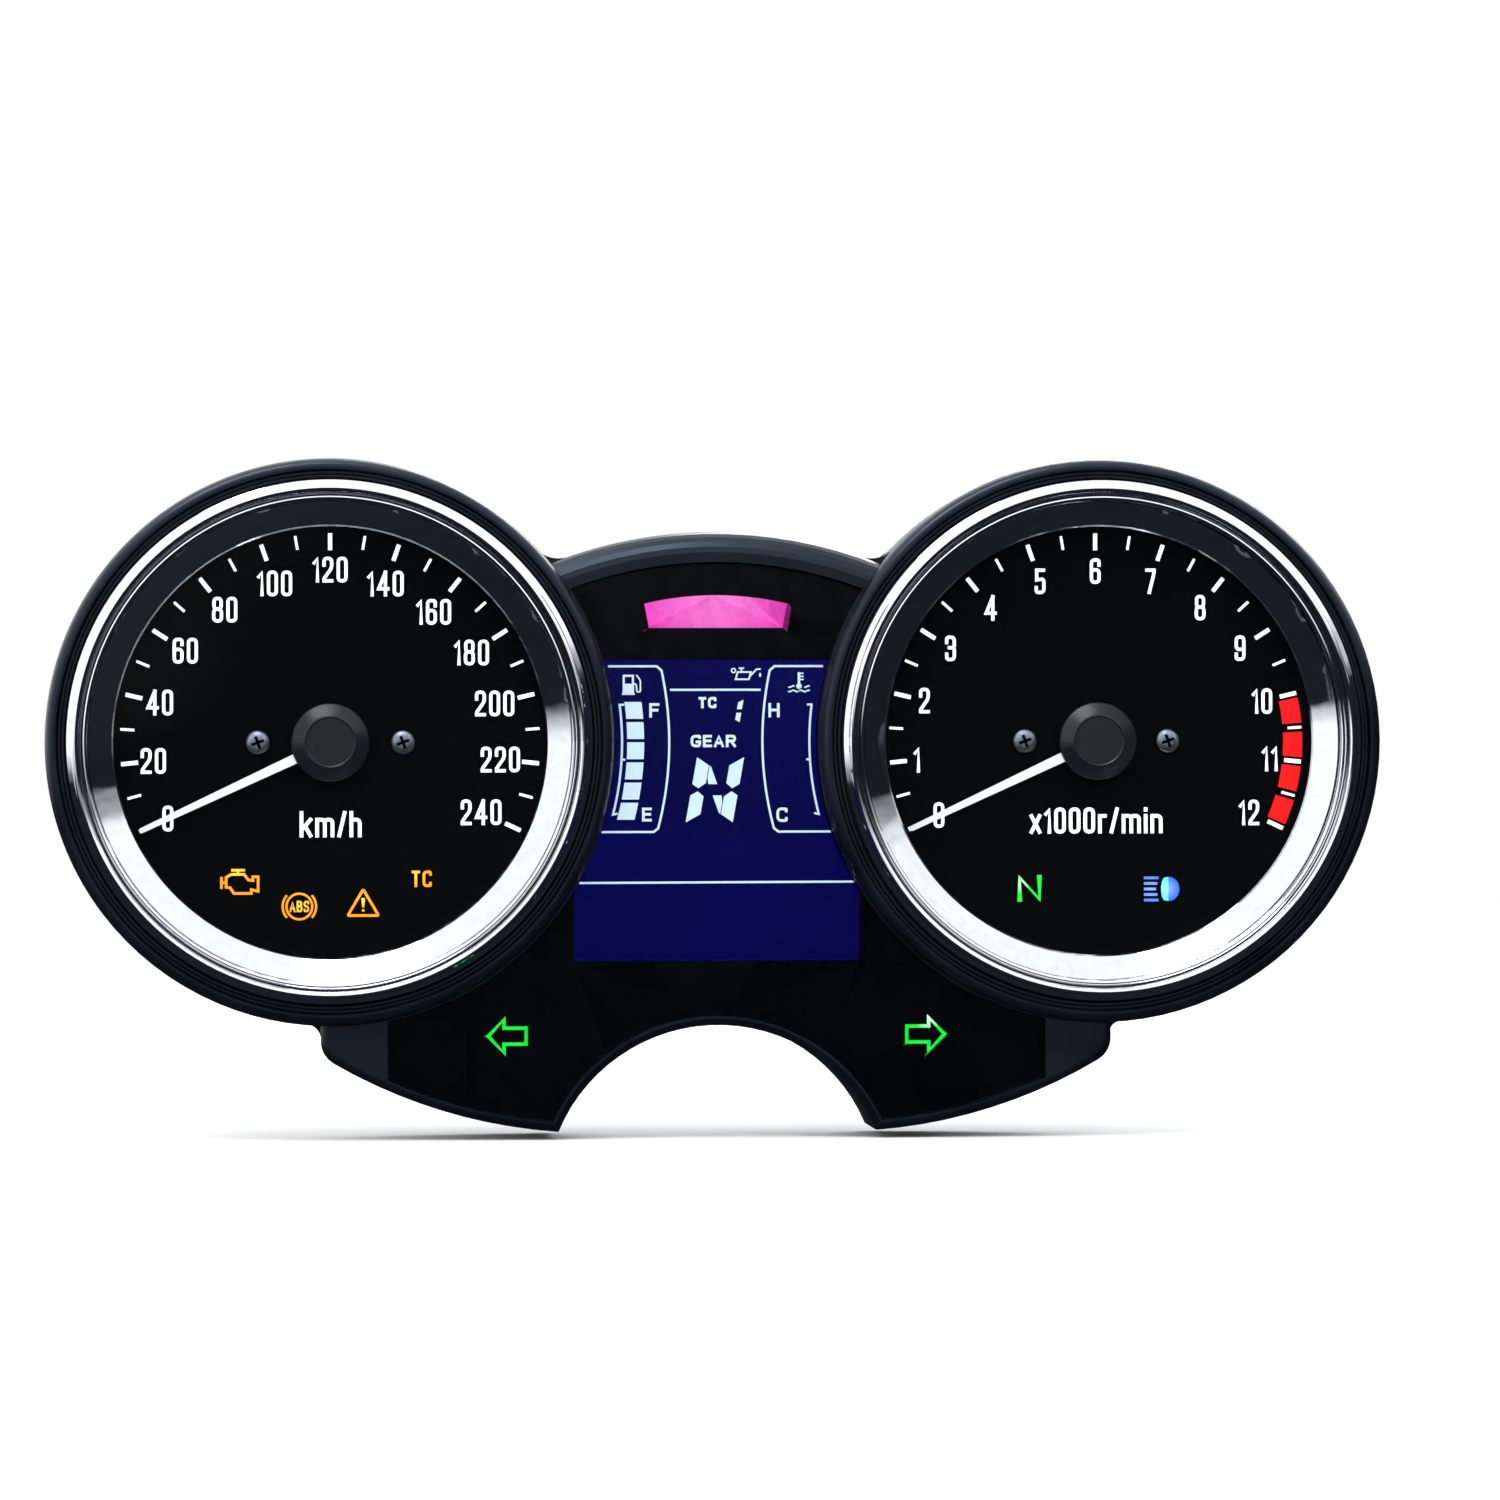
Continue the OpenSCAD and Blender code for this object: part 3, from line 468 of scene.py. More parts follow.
GEAR_POM = MouldedPlastic("gear_plastic", "#E2DCC6", "#D6CFB6", 0.35, 0.3, 0.008)


def dress(prefix: str, table: dict[Finish, str]) -> None:
    """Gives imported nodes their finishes.

    Args:
        prefix: what every node's name starts with.
        table: the rest of the names, split by spaces, by what the nodes are made of.
    """
    for finish, names in table.items():
        for name in names.split():
            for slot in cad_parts[prefix + name].material_slots:
                slot.material = material_of(finish)
            LOG.info("dressed %s as %s", prefix + name, finish.name)


# ---- drawn shapes ---------------------------------------------------------


class Hue(Enum):
    """Colours of the lamps: the tinted film and the whiter spot in front of the lamp."""

    AMBER = ("#FF9208", "#FFDC46")
    GREEN = ("#12D634", "#D8FFE0")
    BLUE = ("#2B5CFF", "#86B4FF")
    CYAN = ("#58D8E8", "#9CF2FF")
    PINK = ("#F02CB4", "#FF8EDC")


def arc(centre: tuple[float, float], radius: float, start: float, end: float, steps: int = 24,
        height: float | None = None) -> np.ndarray:
    """Returns points along a circle's or an ellipse's arc: centre + (a cos t, b sin t).

    Args:
        centre: its centre in millimetres.
        radius: its half width.
        start: first angle in degrees from +x, anticlockwise.
        end: last angle.
        steps: number of stretches.
        height: its half height, where it isn't a circle.
    """
    t = np.radians(np.linspace(start, end, steps + 1))
    return np.stack([centre[0] + radius * np.cos(t), centre[1] + (height or radius) * np.sin(t)], 1)


def rounded(corners: list[tuple], radius: float, closed: bool) -> np.ndarray:
    """Returns a path whose corners are rounded off.

    Each corner becomes a quadratic curve that leaves one side and joins the next at the rounding
    distance, (1-t)^2 A + 2t(1-t) B + t^2 C. A corner's third value scales its rounding; 0 is sharp.

    Args:
        corners: (x, z) or (x, z, share of the rounding) of each corner.
        radius: rounding distance from a corner, in millimetres.
        closed: whether the last corner joins the first.
    """
    t = np.linspace(0, 1, 7)[:, None]
    points = np.array([c[:2] for c in corners], float)
    pieces = []
    for i, corner in enumerate(corners):
        share = corner[2] if len(corner) > 2 else 1.0
        ends = not closed and i in (0, len(corners) - 1)
        back, ahead = points[i - 1] - points[i], points[(i + 1) % len(points)] - points[i]
        reach = min(radius * share, 0.49 * np.linalg.norm(back), 0.49 * np.linalg.norm(ahead))
        if ends or reach < 1e-4:
            pieces.append(points[i:i + 1])
            continue
        first = points[i] + back / np.linalg.norm(back) * reach
        last = points[i] + ahead / np.linalg.norm(ahead) * reach
        pieces.append((1 - t) ** 2 * first + 2 * t * (1 - t) * points[i] + t ** 2 * last)
    return np.concatenate(pieces)


@dataclass
class Relief:
    """Thin closed solids drawn on a face and gathered into one mesh.

    Each solid stands a few micrometres higher than the one before, so that no two tops coincide
    where strokes cross.
    """

    base: float
    thickness: float = 0.05
    centre: tuple[float, float] = (0.0, 0.0)
    vertices: list = field(default_factory=list)
    faces: list = field(default_factory=list)
    count: int = 0
    solids: int = 0

    def _add(self, grid: np.ndarray, faces: list) -> None:
        """Adds one closed solid, turned so that its faces point outwards.

        Args:
            grid: its points as (x, z, height).
            faces: its faces as lists of indices.
        """
        shifted = grid + (*self.centre, 0.0)
        solid = np.stack([shifted[:, 0], -shifted[:, 2], shifted[:, 1]], 1)
        fans = [(f[0], f[k], f[k + 1]) for f in faces for k in range(1, len(f) - 1)]
        a, b, c = (solid[np.array(fans)[:, k]] for k in range(3))
        if np.einsum("ij,ij->i", a, np.cross(b, c)).sum() < 0:
            faces = [f[::-1] for f in faces]
        self.faces += [[self.count + i for i in f] for f in faces]
        self.vertices.append(solid * MM)
        self.count += len(solid)
        self.solids += 1

    def _heights(self) -> tuple[float, float]:
        """Returns the lower and upper height of the next solid."""
        return self.base - SINK, self.base + self.thickness + LIFT * (self.solids % LIFT_STEPS)

    def ribbon(self, path: np.ndarray, width: float, closed: bool = False) -> None:
        """Adds a bar of rectangular section along a path, mitred at each point.

        The section's corners at a point are p +- m w/2, where m is the sum of the normals of the two
        sides that meet there, divided by 1 plus their dot product.

        Args:
            path: its points in millimetres.
            width: its width.
            closed: whether it joins up into a loop.
        """
        p = np.asarray(path, float)
        step = np.roll(p, -1, 0) - p
        if not closed:
            step[-1] = step[-2]
        along = step / np.linalg.norm(step, axis=1)[:, None]
        left = np.stack([-along[:, 1], along[:, 0]], 1)
        before = np.roll(left, 1, 0)
        if not closed:
            before[0] = left[0]
        mitre = (left + before) / np.maximum(1 + (left * before).sum(1), 0.6)[:, None] * width / 2
        low, high = self._heights()
        sides = np.stack([p + mitre, p + mitre, p - mitre, p - mitre], 1)
        levels = np.broadcast_to(np.array([low, high, high, low])[None, :, None], (len(p), 4, 1))
        grid = np.concatenate([sides, levels], 2).reshape(-1, 3)
        rings = np.arange(len(p) if closed else len(p) - 1)[:, None] * 4
        corner = np.arange(4)[None, :]
        after = (rings + 4) % (4 * len(p))
        quads = np.stack([rings + corner, rings + (corner + 1) % 4,
                          after + (corner + 1) % 4, after + corner], 2).reshape(-1, 4).tolist()
        last = 4 * len(p) - 4
        caps = [] if closed else [[3, 2, 1, 0], [last, last + 1, last + 2, last + 3]]
        self._add(grid, quads + caps)

    def strokes(self, at: tuple[float, float], *lines: tuple) -> None:
        """Adds open bars drawn about a point, each given as its width and then its points."""
        for width, *points in lines:
            self.ribbon(np.add(points, at), width)

    def plate(self, outline: np.ndarray) -> None:
        """Adds a flat plate: the outline at two heights, its sides and its two faces.

        Args:
            outline: its corners in order, in millimetres.
        """
        p = np.asarray(outline, float)
        low, high = self._heights()
        n = len(p)
        grid = np.concatenate([np.c_[p, np.full(n, low)], np.c_[p, np.full(n, high)]])
        i = np.arange(n)
        sides = np.stack([i, (i + 1) % n, n + (i + 1) % n, n + i], 1).tolist()
        self._add(grid, sides + [i[::-1].tolist(), (n + i).tolist()])

    def text(self, words: str, at: tuple[float, float], height: float, weight: float,
             spread: float = 1.0, spacing: float = 0.13) -> None:
        """Adds a line of stroke lettering, centred on a point. Open strokes end half a stroke past
        their middle-line box, so that every character fills its height.

        Args:
            words: characters that GLYPHS holds.
            at: centre of the line in millimetres.
            height: height of a capital.
            weight: width of the strokes.
            spread: widens or narrows every character.
            spacing: gap between characters, as a share of the height.
        """
        widths = [GLYPHS[c][0] * height * spread for c in words]
        x = at[0] - line_width(words, height, spread, spacing) / 2
        for character, width in zip(words, widths):
            box = np.array([max(width - weight, 0.01), height - weight])
            corner = np.array([x + weight / 2, at[1] - height / 2 + weight / 2])
            for stroke in GLYPHS[character][1:]:
                closed = stroke[0] == stroke[-1]
                placed = [(*(corner + box * p[:2]), *p[2:]) for p in stroke[:len(stroke) - closed]]
                path = rounded(placed, CORNER_SHARE * width, closed)
                if not closed:
                    for end, beside in ((0, 1), (-1, -2)):
                        out = path[end] - path[beside]
                        path[end] += out / np.linalg.norm(out) * weight / 2
                self.ribbon(path, weight, closed)
            x += width + spacing * height

    def piece(self, name: str, finish: Finish, slot: str) -> None:
        """Makes the gathered solids one piece that rides on the housing.

        Args:
            name: the piece's name.
            finish: its finish.
            slot: a material slot's name; not used.
        """
        mesh = bpy.data.meshes.new(name)
        mesh.from_pydata(np.concatenate(self.vertices).tolist(), [], self.faces)
        mesh.materials.append(material_of(finish))
        place_piece(mesh, name, HOUSING)


def line_width(words: str, height: float, spread: float = 1.0, spacing: float = 0.13) -> float:
    """Returns the width of a line of stroke lettering, in the terms of Relief.text."""
    return height * (spread * sum(GLYPHS[c][0] for c in words) + spacing * (len(words) - 1))


def new_object(name: str, data: bpy.types.ID) -> bpy.types.Object:
    """Returns a new object that is in the scene."""
    made = bpy.data.objects.new(name, data)
    bpy.context.scene.collection.objects.link(made)
    return made


def place_piece(mesh: bpy.types.Mesh, name: str, body: str) -> None:
    """Puts a finished mesh into the scene on its body.

    Args:
        mesh: the mesh, already in place.
        name: the piece's name.
        body: the body it rides on.
    """
    piece = new_object(name, mesh)
    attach(piece, body)
    LOG.info("made %s: %d faces on %s", name, len(mesh.polygons), body)


# Stroke lettering. Each character has its width as a share of its height, and strokes whose points
# run from 0 to 1 across and up the box of the strokes' middle lines. A third value scales a corner's
# rounding, and 0 keeps it sharp. A stroke that ends where it starts is closed.
CORNER_SHARE = 0.42   # rounding of a corner, as a share of the character's width
GLYPHS: dict[str, tuple] = {
    "0": (0.46, [(0, 0), (1, 0), (1, 1), (0, 1), (0, 0)]),
    "1": (0.27, [(0, 0.8, 0), (1, 1, 0), (1, 0, 0)]),
    "2": (0.46, [(0, 0.7, 0), (0, 1), (1, 1), (1, 0.58, 0.7), (0, 0.1, 0.3), (0, 0, 0), (1, 0, 0)]),
    "3": (0.46, [(0, 0.76, 0), (0, 1), (1, 1), (1, 0.54, 0.8), (0.35, 0.53, 0)],
          [(0.35, 0.53, 0), (1, 0.52, 0.8), (1, 0), (0, 0), (0, 0.24, 0)]),
    "4": (0.52, [(0.74, 0, 0), (0.74, 1, 0)], [(0.74, 1, 0), (0, 0.27, 0), (1, 0.27, 0)]),
    "5": (0.46, [(0.95, 1, 0), (0.06, 1, 0), (0.06, 0.56, 0), (1, 0.62), (1, 0), (0, 0), (0, 0.22, 0)]),
    "6": (0.46, [(0, 0), (1, 0), (1, 0.56), (0, 0.56), (0, 0)],
          [(0, 0.3, 0), (0, 1), (1, 1), (1, 0.77, 0)]),
    "7": (0.44, [(0, 1, 0), (1, 1, 0), (1, 0.86, 0.5), (0.34, 0, 0)]),
    "8": (0.46, [(0, 0), (1, 0), (1, 0.53), (0, 0.53), (0, 0)],
          [(0.04, 0.53), (0.96, 0.53), (0.96, 1), (0.04, 1), (0.04, 0.53)]),
    "9": (0.46, [(0, 0.44), (1, 0.44), (1, 1), (0, 1), (0, 0.44)],
          [(1, 0.7, 0), (1, 0), (0, 0), (0, 0.23, 0)]),
    "A": (0.56, [(0, 0, 0), (0.5, 1, 0), (1, 0, 0)], [(0.17, 0.3), (0.83, 0.3)]),
    "B": (0.54, [(0, 0, 0), (0, 1, 0), (0.92, 1), (0.92, 0.53), (0, 0.53, 0)],
          [(0, 0.53, 0), (1, 0.53), (1, 0), (0, 0, 0)]),
    "C": (0.56, [(1, 0.82, 0), (1, 1), (0, 1), (0, 0), (1, 0), (1, 0.18, 0)]),
    "E": (0.5, [(1, 1, 0), (0, 1, 0), (0, 0, 0), (1, 0, 0)], [(0, 0.52), (0.9, 0.52)]),
    "F": (0.5, [(1, 1, 0), (0, 1, 0), (0, 0, 0)], [(0, 0.52), (0.88, 0.52)]),
    "G": (0.58, [(1, 0.86, 0), (1, 1), (0, 1), (0, 0), (1, 0), (1, 0.42, 0), (0.65, 0.42, 0)]),
    "H": (0.56, [(0, 0), (0, 1)], [(1, 0), (1, 1)], [(0, 0.52), (1, 0.52)]),
    "N": (0.6, [(0, 0, 0), (0, 1, 0), (1, 0, 0), (1, 1, 0)]),
    "R": (0.56, [(0, 0, 0), (0, 1, 0), (1, 1), (1, 0.5), (0, 0.5, 0)], [(0.5, 0.5), (1, 0)]),
    "S": (0.52, [(1, 0.84, 0), (1, 1), (0, 1), (0, 0.55, 0.8), (1, 0.47, 0.8), (1, 0), (0, 0),
           (0, 0.16, 0)]),
    "T": (0.5, [(0, 1), (1, 1)], [(0.5, 1), (0.5, 0)]),
    "h": (0.48, [(0, 0), (0, 1)], [(0, 0.45, 0), (0, 0.7), (1, 0.7), (1, 0, 0)]),
    "i": (0.14, [(0.5, 0), (0.5, 0.7)], [(0.5, 0.97), (0.5, 1)]),
    "k": (0.5, [(0, 0), (0, 1)], [(1, 0.7, 0), (0.1, 0.28, 0)], [(0.4, 0.42, 0), (1, 0, 0)]),
    "m": (0.76, [(0, 0), (0, 0.7)], [(0, 0.45, 0), (0, 0.7), (0.5, 0.7), (0.5, 0, 0)],
          [(0.5, 0.45, 0), (0.5, 0.7), (1, 0.7), (1, 0, 0)]),
    "n": (0.48, [(0, 0), (0, 0.7)], [(0, 0.45, 0), (0, 0.7), (1, 0.7), (1, 0, 0)]),
    "r": (0.34, [(0, 0), (0, 0.7)], [(0, 0.4, 0), (0, 0.7), (1, 0.7, 0)]),
    "x": (0.46, [(0, 0), (1, 0.7)], [(0, 0.7), (1, 0)]),
    "/": (0.36, [(0, 0), (1, 1)]),
}


# ---- gauges ---------------------------------------------------------------


@dataclass
class Gauge:
    """One round gauge: printed dial, pointer, lens, plated ring and mirror cone."""

    name: str
    labels: list[str]
    unit: str
    unit_at: float
    unit_spread: float
    unit_height: float = 5.1
    unit_weight: float = 0.7
    unit_spacing: float = 0.12
    rest_angle: float = 205.0
    sweep: float = 230.0
    scale_r: float = 40.8
    major: tuple[float, float] = (3.3, 0.8)
    minor: tuple[float, float] = (2.7, 0.5)
    label_reach: tuple[float, float] = (37.2, 3.5)
    label_height: float = 5.0
    label_weight: float = 0.62
    label_spread: float = 0.92
    label_share: float = 0.95
    red_from: float | None = None
    red_margin: float = 0.9
    red_inset: float = 0.4
    red_outset: float = 0.1

    def __post_init__(self) -> None:
        """Takes the dial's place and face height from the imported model."""
        low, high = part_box(self.name + "_dial")
        self.x = (low.x + high.x) / 2 / MM
        self.face = -low.y / MM

    def at(self, radius: float, share: float) -> np.ndarray:
        """Returns the point at a radius and a share of the scale, clockwise from rest."""
        angle = math.radians(self.rest_angle - self.sweep * share)
        return radius * np.array([math.cos(angle), math.sin(angle)])

    def relief(self) -> Relief:
        """Returns an empty relief on this dial's face."""
        return Relief(self.face, centre=(self.x, 0.0))

    def scale_marks(self) -> None:
        """Prints the marks: a long one at each label and a short one between."""
        marks = self.relief()
        gaps = 2 * (len(self.labels) - 1)
        for i in range(gaps + 1):
            length, width = self.major if i % 2 == 0 else self.minor
            ends = [self.at(r, i / gaps) for r in (self.scale_r - length, self.scale_r)]
            marks.ribbon(np.array(ends), width)
        marks.piece(self.name + "_scale_marks", WHITE_INK, "needle_white")

    def numbers(self) -> None:
        """Prints the labels just inside the marks.

        A label's centre lies at the radius reach - (s w |cos a| + h |sin a|), where a is its angle, w
        is half its width, h the room kept above it and s the share of the width that counts.
        """
        print_ = self.relief()
        reach, room = self.label_reach
        for i, label in enumerate(self.labels):
            along = np.abs(self.at(1.0, i / (len(self.labels) - 1)))
            half = self.label_share * line_width(label, self.label_height, self.label_spread) / 2
            spot = self.at(reach - half * along[0] - room * along[1], i / (len(self.labels) - 1))
            print_.text(label, tuple(spot), self.label_height, self.label_weight, self.label_spread)
        print_.piece(self.name + "_numbers", WHITE_INK, "needle_white")

    def unit_print(self) -> None:
        """Prints the unit under the pointer's shaft."""
        print_ = self.relief()
        print_.text(self.unit, (0, self.unit_at), self.unit_height, self.unit_weight,
                    self.unit_spread, self.unit_spacing)
        print_.piece(self.name + "_unit", WHITE_INK, "needle_white")

    def red_zone(self) -> None:
        """Prints the red blocks between the marks from red_from to the end of the scale."""
        zone = self.relief()
        gaps = 2 * (len(self.labels) - 1)
        margin = math.degrees(self.red_margin / self.scale_r)
        for i in range(round(self.red_from * gaps), gaps):
            start = self.rest_angle - self.sweep * i / gaps - margin
            end = self.rest_angle - self.sweep * (i + 1) / gaps + margin
            outer = arc((0, 0), self.scale_r + self.red_outset, start, end, 8)
            inner = arc((0, 0), self.scale_r - self.major[0] - self.red_inset, end, start, 8)
            zone.plate(np.concatenate([outer, inner]))
        zone.piece(self.name + "_red_zone", RED_INK, "needle_white")

    def lamp(self, name: str, relief: Relief, hue: Hue, hot: tuple[float, float],
             radius: float = 2.4) -> None:
        """Makes a drawn symbol a lit window.

        Args:
            name: the piece's name after the gauge's.
            relief: the drawn symbol.
            hue: its colour.
            hot: where the lamp shines through most, from the dial's centre.
            radius: reach of that spot in millimetres.
        """
        finish = LitWindow(self.name + "_" + name, hue.value[0], hue.value[1],
                           (self.x + hot[0], -self.face, hot[1]), radius)
        relief.piece(self.name + "_" + name, finish, "lamp_resin")

    def build(self) -> None:
        """Prints the dial."""
        self.scale_marks()
        self.numbers()
        self.unit_print()
        if self.red_from is not None:
            self.red_zone()

    def dress(self) -> None:
        """Gives the gauge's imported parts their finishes."""
        dress(self.name, {
            BEZEL_CHROME: "_bezel", REFLECTOR_CHROME: "_reflector", LENS_CLEAR: "_lens",
            SEAL_RUBBER: "_lens_seal", DIAL_BLACK: "_dial", NEEDLE_WHITE: "_needle",
            CAP_BLACK: "_needle_cap", GUIDE_CLEAR: "_light_guide"})


@dataclass
class Speedometer(Gauge):
    """Left gauge, with four amber warning symbols under its unit."""

    stroke: float = 0.5

    def engine(self) -> None:
        """Draws the engine outline: block, filler neck and the two side stubs."""
        s = self.relief()
        x, z, w = -17.3, -27.1, self.stroke
        block = [(-3.0, -1.0), (-2.2, -1.1), (-1.5, -2.2), (1.9, -2.2), (1.9, -1.5), (3.2, -1.8),
                 (3.2, 1.0), (2.2, 1.0), (2.2, 0.3), (1.3, 0.4), (0.5, 1.5), (-2.0, 1.5), (-3.0, 0.9)]
        s.ribbon(np.add(block, (x, z)), w, True)
        s.strokes((x, z), (w, (-2.0, 2.3), (0.7, 2.3)), (w, (-0.7, 1.5), (-0.7, 2.3)),
                  (w, (-3.9, 1.0), (-3.9, -1.3)), (w, (-3.9, -0.1), (-3.0, -0.1)))
        self.lamp("engine_lamp", s, Hue.AMBER, (x - 1, z + 1.8))

    def brakes(self) -> None:
        """Draws the letters in a ring between two brackets."""
        s = self.relief()
        x, z = -6.1, -31.9
        s.ribbon(arc((x, z), 2.5, 0, 360, 48)[:-1], 0.42, True)
        for side in (0, 180):
            s.ribbon(arc((x, z), 3.25, side - 42, side + 42), 0.42)
        s.text("ABS", (x, z), 2.2, 0.36, 0.95, 0.1)
        self.lamp("brake_lamp", s, Hue.AMBER, (x, z + 0.3))

    def hazard(self) -> None:
        """Draws the warning triangle and its exclamation mark."""
        s = self.relief()
        x, z = 6.3, -31.3
        triangle = np.add([(0, 2.7), (-3.0, -2.4), (3.0, -2.4)], (x, z))
        s.ribbon(rounded(triangle, 0.35, True), self.stroke, True)
        s.plate(np.add([(-0.36, 1.0), (0.36, 1.0), (0.2, -0.8), (-0.2, -0.8)], (x, z)))
        s.plate(arc((x, z - 1.4), 0.28, 0, 360, 12)[:-1])
        self.lamp("hazard_lamp", s, Hue.AMBER, (x, z + 0.4), 1.6)

    def traction(self) -> None:
        """Draws the traction-control letters."""
        s = self.relief()
        s.text("TC", (17.7, -26.6), 3.2, 0.52, 1.0, 0.16)
        self.lamp("traction_lamp", s, Hue.AMBER, (16.8, -25.9), 1.8)

    def build(self) -> None:
        """Prints the dial and its warning symbols."""
        super().build()
        self.engine()
        self.brakes()
        self.hazard()
        self.traction()


@dataclass
class Tachometer(Gauge):
    """Right gauge, with the neutral and high-beam lamps under its unit."""

    def neutral(self) -> None:
        """Draws the neutral lamp's letter."""
        s = self.relief()
        s.text("N", (-13.2, -28.9), 5.2, 0.95, 1.55, 0)
        self.lamp("neutral_lamp", s, Hue.GREEN, (-14.9, -27.9), 2.0)

    def beam(self) -> None:
        """Draws the high-beam lamp: a reflector shape and five level rays."""
        x, z, half = 13.9, -29.1, 2.35
        bowl, glass = self.relief(), self.relief()
        bowl.plate(arc((x + 0.4, z), 2.1, -90, 90, 20, half))
        left = arc((x - 0.2, z), 0.9, 110, 250, 12, half)
        glass.plate(np.concatenate([left, [(x + 0.35, z - half), (x + 0.35, z + half)]]))
        self.lamp("beam_bowl", bowl, Hue.BLUE, (x, z), 2.4)
        self.lamp("beam_glass", glass, Hue.CYAN, (x, z), 2.0)
        rays = self.relief()
        for k in range(5):
            level = z + half * 0.93 * (1 - k / 2)
            rays.ribbon(np.array([(x - 4.5, level), (x - 1.6 - 0.25 * (2 - abs(2 - k)), level)]), 0.52)
        self.lamp("beam_rays", rays, Hue.BLUE, (x - 3.2, z), 3.4)

    def build(self) -> None:
        """Prints the dial and its two lamps."""
        super().build()
        self.neutral()
        self.beam()


# ---- centre display -------------------------------------------------------


@dataclass
class Display:
    """Liquid-crystal display with its mask, window, warning bar and turn arrows."""

    line: float = 0.42
    pod_x: float = 75.0
    fuel_r: tuple[float, float] = (57.7, 61.0)
    fuel_levels: int = 6
    side_r: float = 65.9
    bracket_r: float = 56.7

    def __post_init__(self) -> None:
        """Takes the glass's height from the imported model."""
        self.face = -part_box("lcd_panel")[0].y / MM

    def relief(self) -> Relief:
        """Returns an empty relief on the display glass."""
        return Relief(self.face, 0.04)

    def curve(self, side: int, radius: float, top: float, bottom: float) -> np.ndarray:
        """Returns points down a circle round a gauge's centre, between two levels.

        Args:
            side: -1 for the left gauge, 1 for the right.
            radius: the circle's radius.
            top: upper level in millimetres.
            bottom: lower level.
        """
        z = np.linspace(top, bottom, 25)
        return np.stack([side * (self.pod_x - np.sqrt(radius ** 2 - z ** 2)), z], 1)

    def frames(self) -> None:
        """Draws the lines round the two level gauges and across the display."""
        s = self.relief()
        for side in (-1, 1):
            side_line = self.curve(side, self.side_r, 13.9, -16.9)
            top = [(side * 21.0, 14.7), (side * 11.5, 14.7)]
            bottom = [(side * 12.2, -17.6), (side * 22.6, -17.6)]
            s.ribbon(np.concatenate([top, side_line, bottom]), self.line)
            levels = self.curve(side, self.bracket_r, 7.2, -14.2)
            inward = -side * 0.9
            s.ribbon(np.concatenate([[levels[0] + (inward, 0)], levels, [levels[-1] + (inward, 0.2)]]),
                     self.line)
            middle = levels[12]
            s.ribbon(np.array([middle, middle + (inward * 0.8, 0)]), self.line)
        s.ribbon(np.array([(-8.9, 10.1), (8.8, 10.1)]), self.line)
        s.ribbon(np.array([(-26.7, -27.5), (27.0, -27.4)]), self.line)
        s.piece("display_lines", SEGMENT_INK, "lcd_glass")

    def fuel_bars(self) -> None:
        """Draws the fuel level: blocks between two circles round the left gauge's centre."""
        s = self.relief()
        pitch, height, top = 3.93, 3.3, 7.75
        for k in range(self.fuel_levels):
            high = top - k * pitch
            outer = self.curve(-1, self.fuel_r[1], high, high - height)
            inner = self.curve(-1, self.fuel_r[0], high, high - height)
            s.plate(np.concatenate([outer, inner[::-1]]))
        s.piece("fuel_bars", SEGMENT_INK, "lcd_glass")

    def letters(self) -> None:
        """Draws the fixed lettering of the display."""
        s = self.relief()
        for word, at, height, spread in (
                ("F", (-12.0, 6.1), 2.8, 1.4), ("E", (-13.5, -14.2), 2.7, 1.4),
                ("H", (11.4, 6.1), 2.8, 1.4), ("C", (12.9, -14.3), 2.8, 1.4),
                ("TC", (-1.6, 7.6), 2.2, 1.35), ("GEAR", (-0.5, 0.1), 2.4, 1.46)):
            s.text(word, at, height, 0.52, spread, 0.16)
        s.piece("display_letters", SEGMENT_INK, "lcd_glass")

    def slanted(self, relief: Relief, at: tuple[float, float], outline: list, lean: float = 0.178) -> None:
        """Adds a segment whose upright sides lean, x + lean * z.

        Args:
            relief: where it goes.
            at: origin of the digit.
            outline: its corners before leaning.
            lean: the lean.
        """
        p = np.array(outline, float)
        relief.plate(np.stack([at[0] + p[:, 0] + lean * p[:, 1], at[1] + p[:, 1]], 1))

    def gear_digit(self) -> None:
        """Draws the lit segments of the gear letter and of the small digit above it."""
        s = self.relief()
        width, half, bar = 6.6, 6.35, 2.6
        for flip in (1, -1):
            for x in (-width / 2, width / 2):
                edge = x + math.copysign(bar / 2, x)
                inner = x - math.copysign(bar / 2, x)
                self.slanted(s, (-0.2, -9.4), [
                    (x, flip * 0.3), (inner, flip * 1.3), (inner, flip * (half - 1.6)),
                    (edge, flip * half), (edge, flip * 1.1)])
        for turn in (1, -1):
            self.slanted(s, (-0.2, -9.4), [(turn * a, turn * b) for a, b in (
                (-1.85, 4.75), (-1.5, 4.4), (0.25, 1.1), (-1.5, 1.1), (-1.85, 2.4))])
        for flip in (1, -1):
            self.slanted(s, (4.6, 5.95), [(-0.5, flip * 0.35), (0.45, flip * 0.35), (0.45, flip * 2.2),
                                         (-0.5, flip * 1.7)])
        s.piece("gear_segments", SEGMENT_INK, "lcd_glass")

    def pump(self, s: Relief, at: tuple[float, float]) -> None:
        """Draws the fuel pump: a tank outline with its lower half filled, a base and a hose."""
        s.strokes(at, (0.4, (-0.95, -1.7), (-0.95, 1.75), (0.85, 1.75), (0.85, -1.7)))
        s.plate(np.add([(-1.0, -1.6), (0.9, -1.6), (0.9, 0.2), (-1.0, 0.2)], at))
        s.strokes(at, (0.35, (-1.3, -1.8), (1.2, -1.8)))
        hose = np.add([(0.9, 0.2), (1.5, 0.1), (1.6, -1.4), (2.3, -1.4), (2.3, 0.9), (1.5, 1.9)], at)
        s.ribbon(rounded(hose, 0.4, False), 0.3)

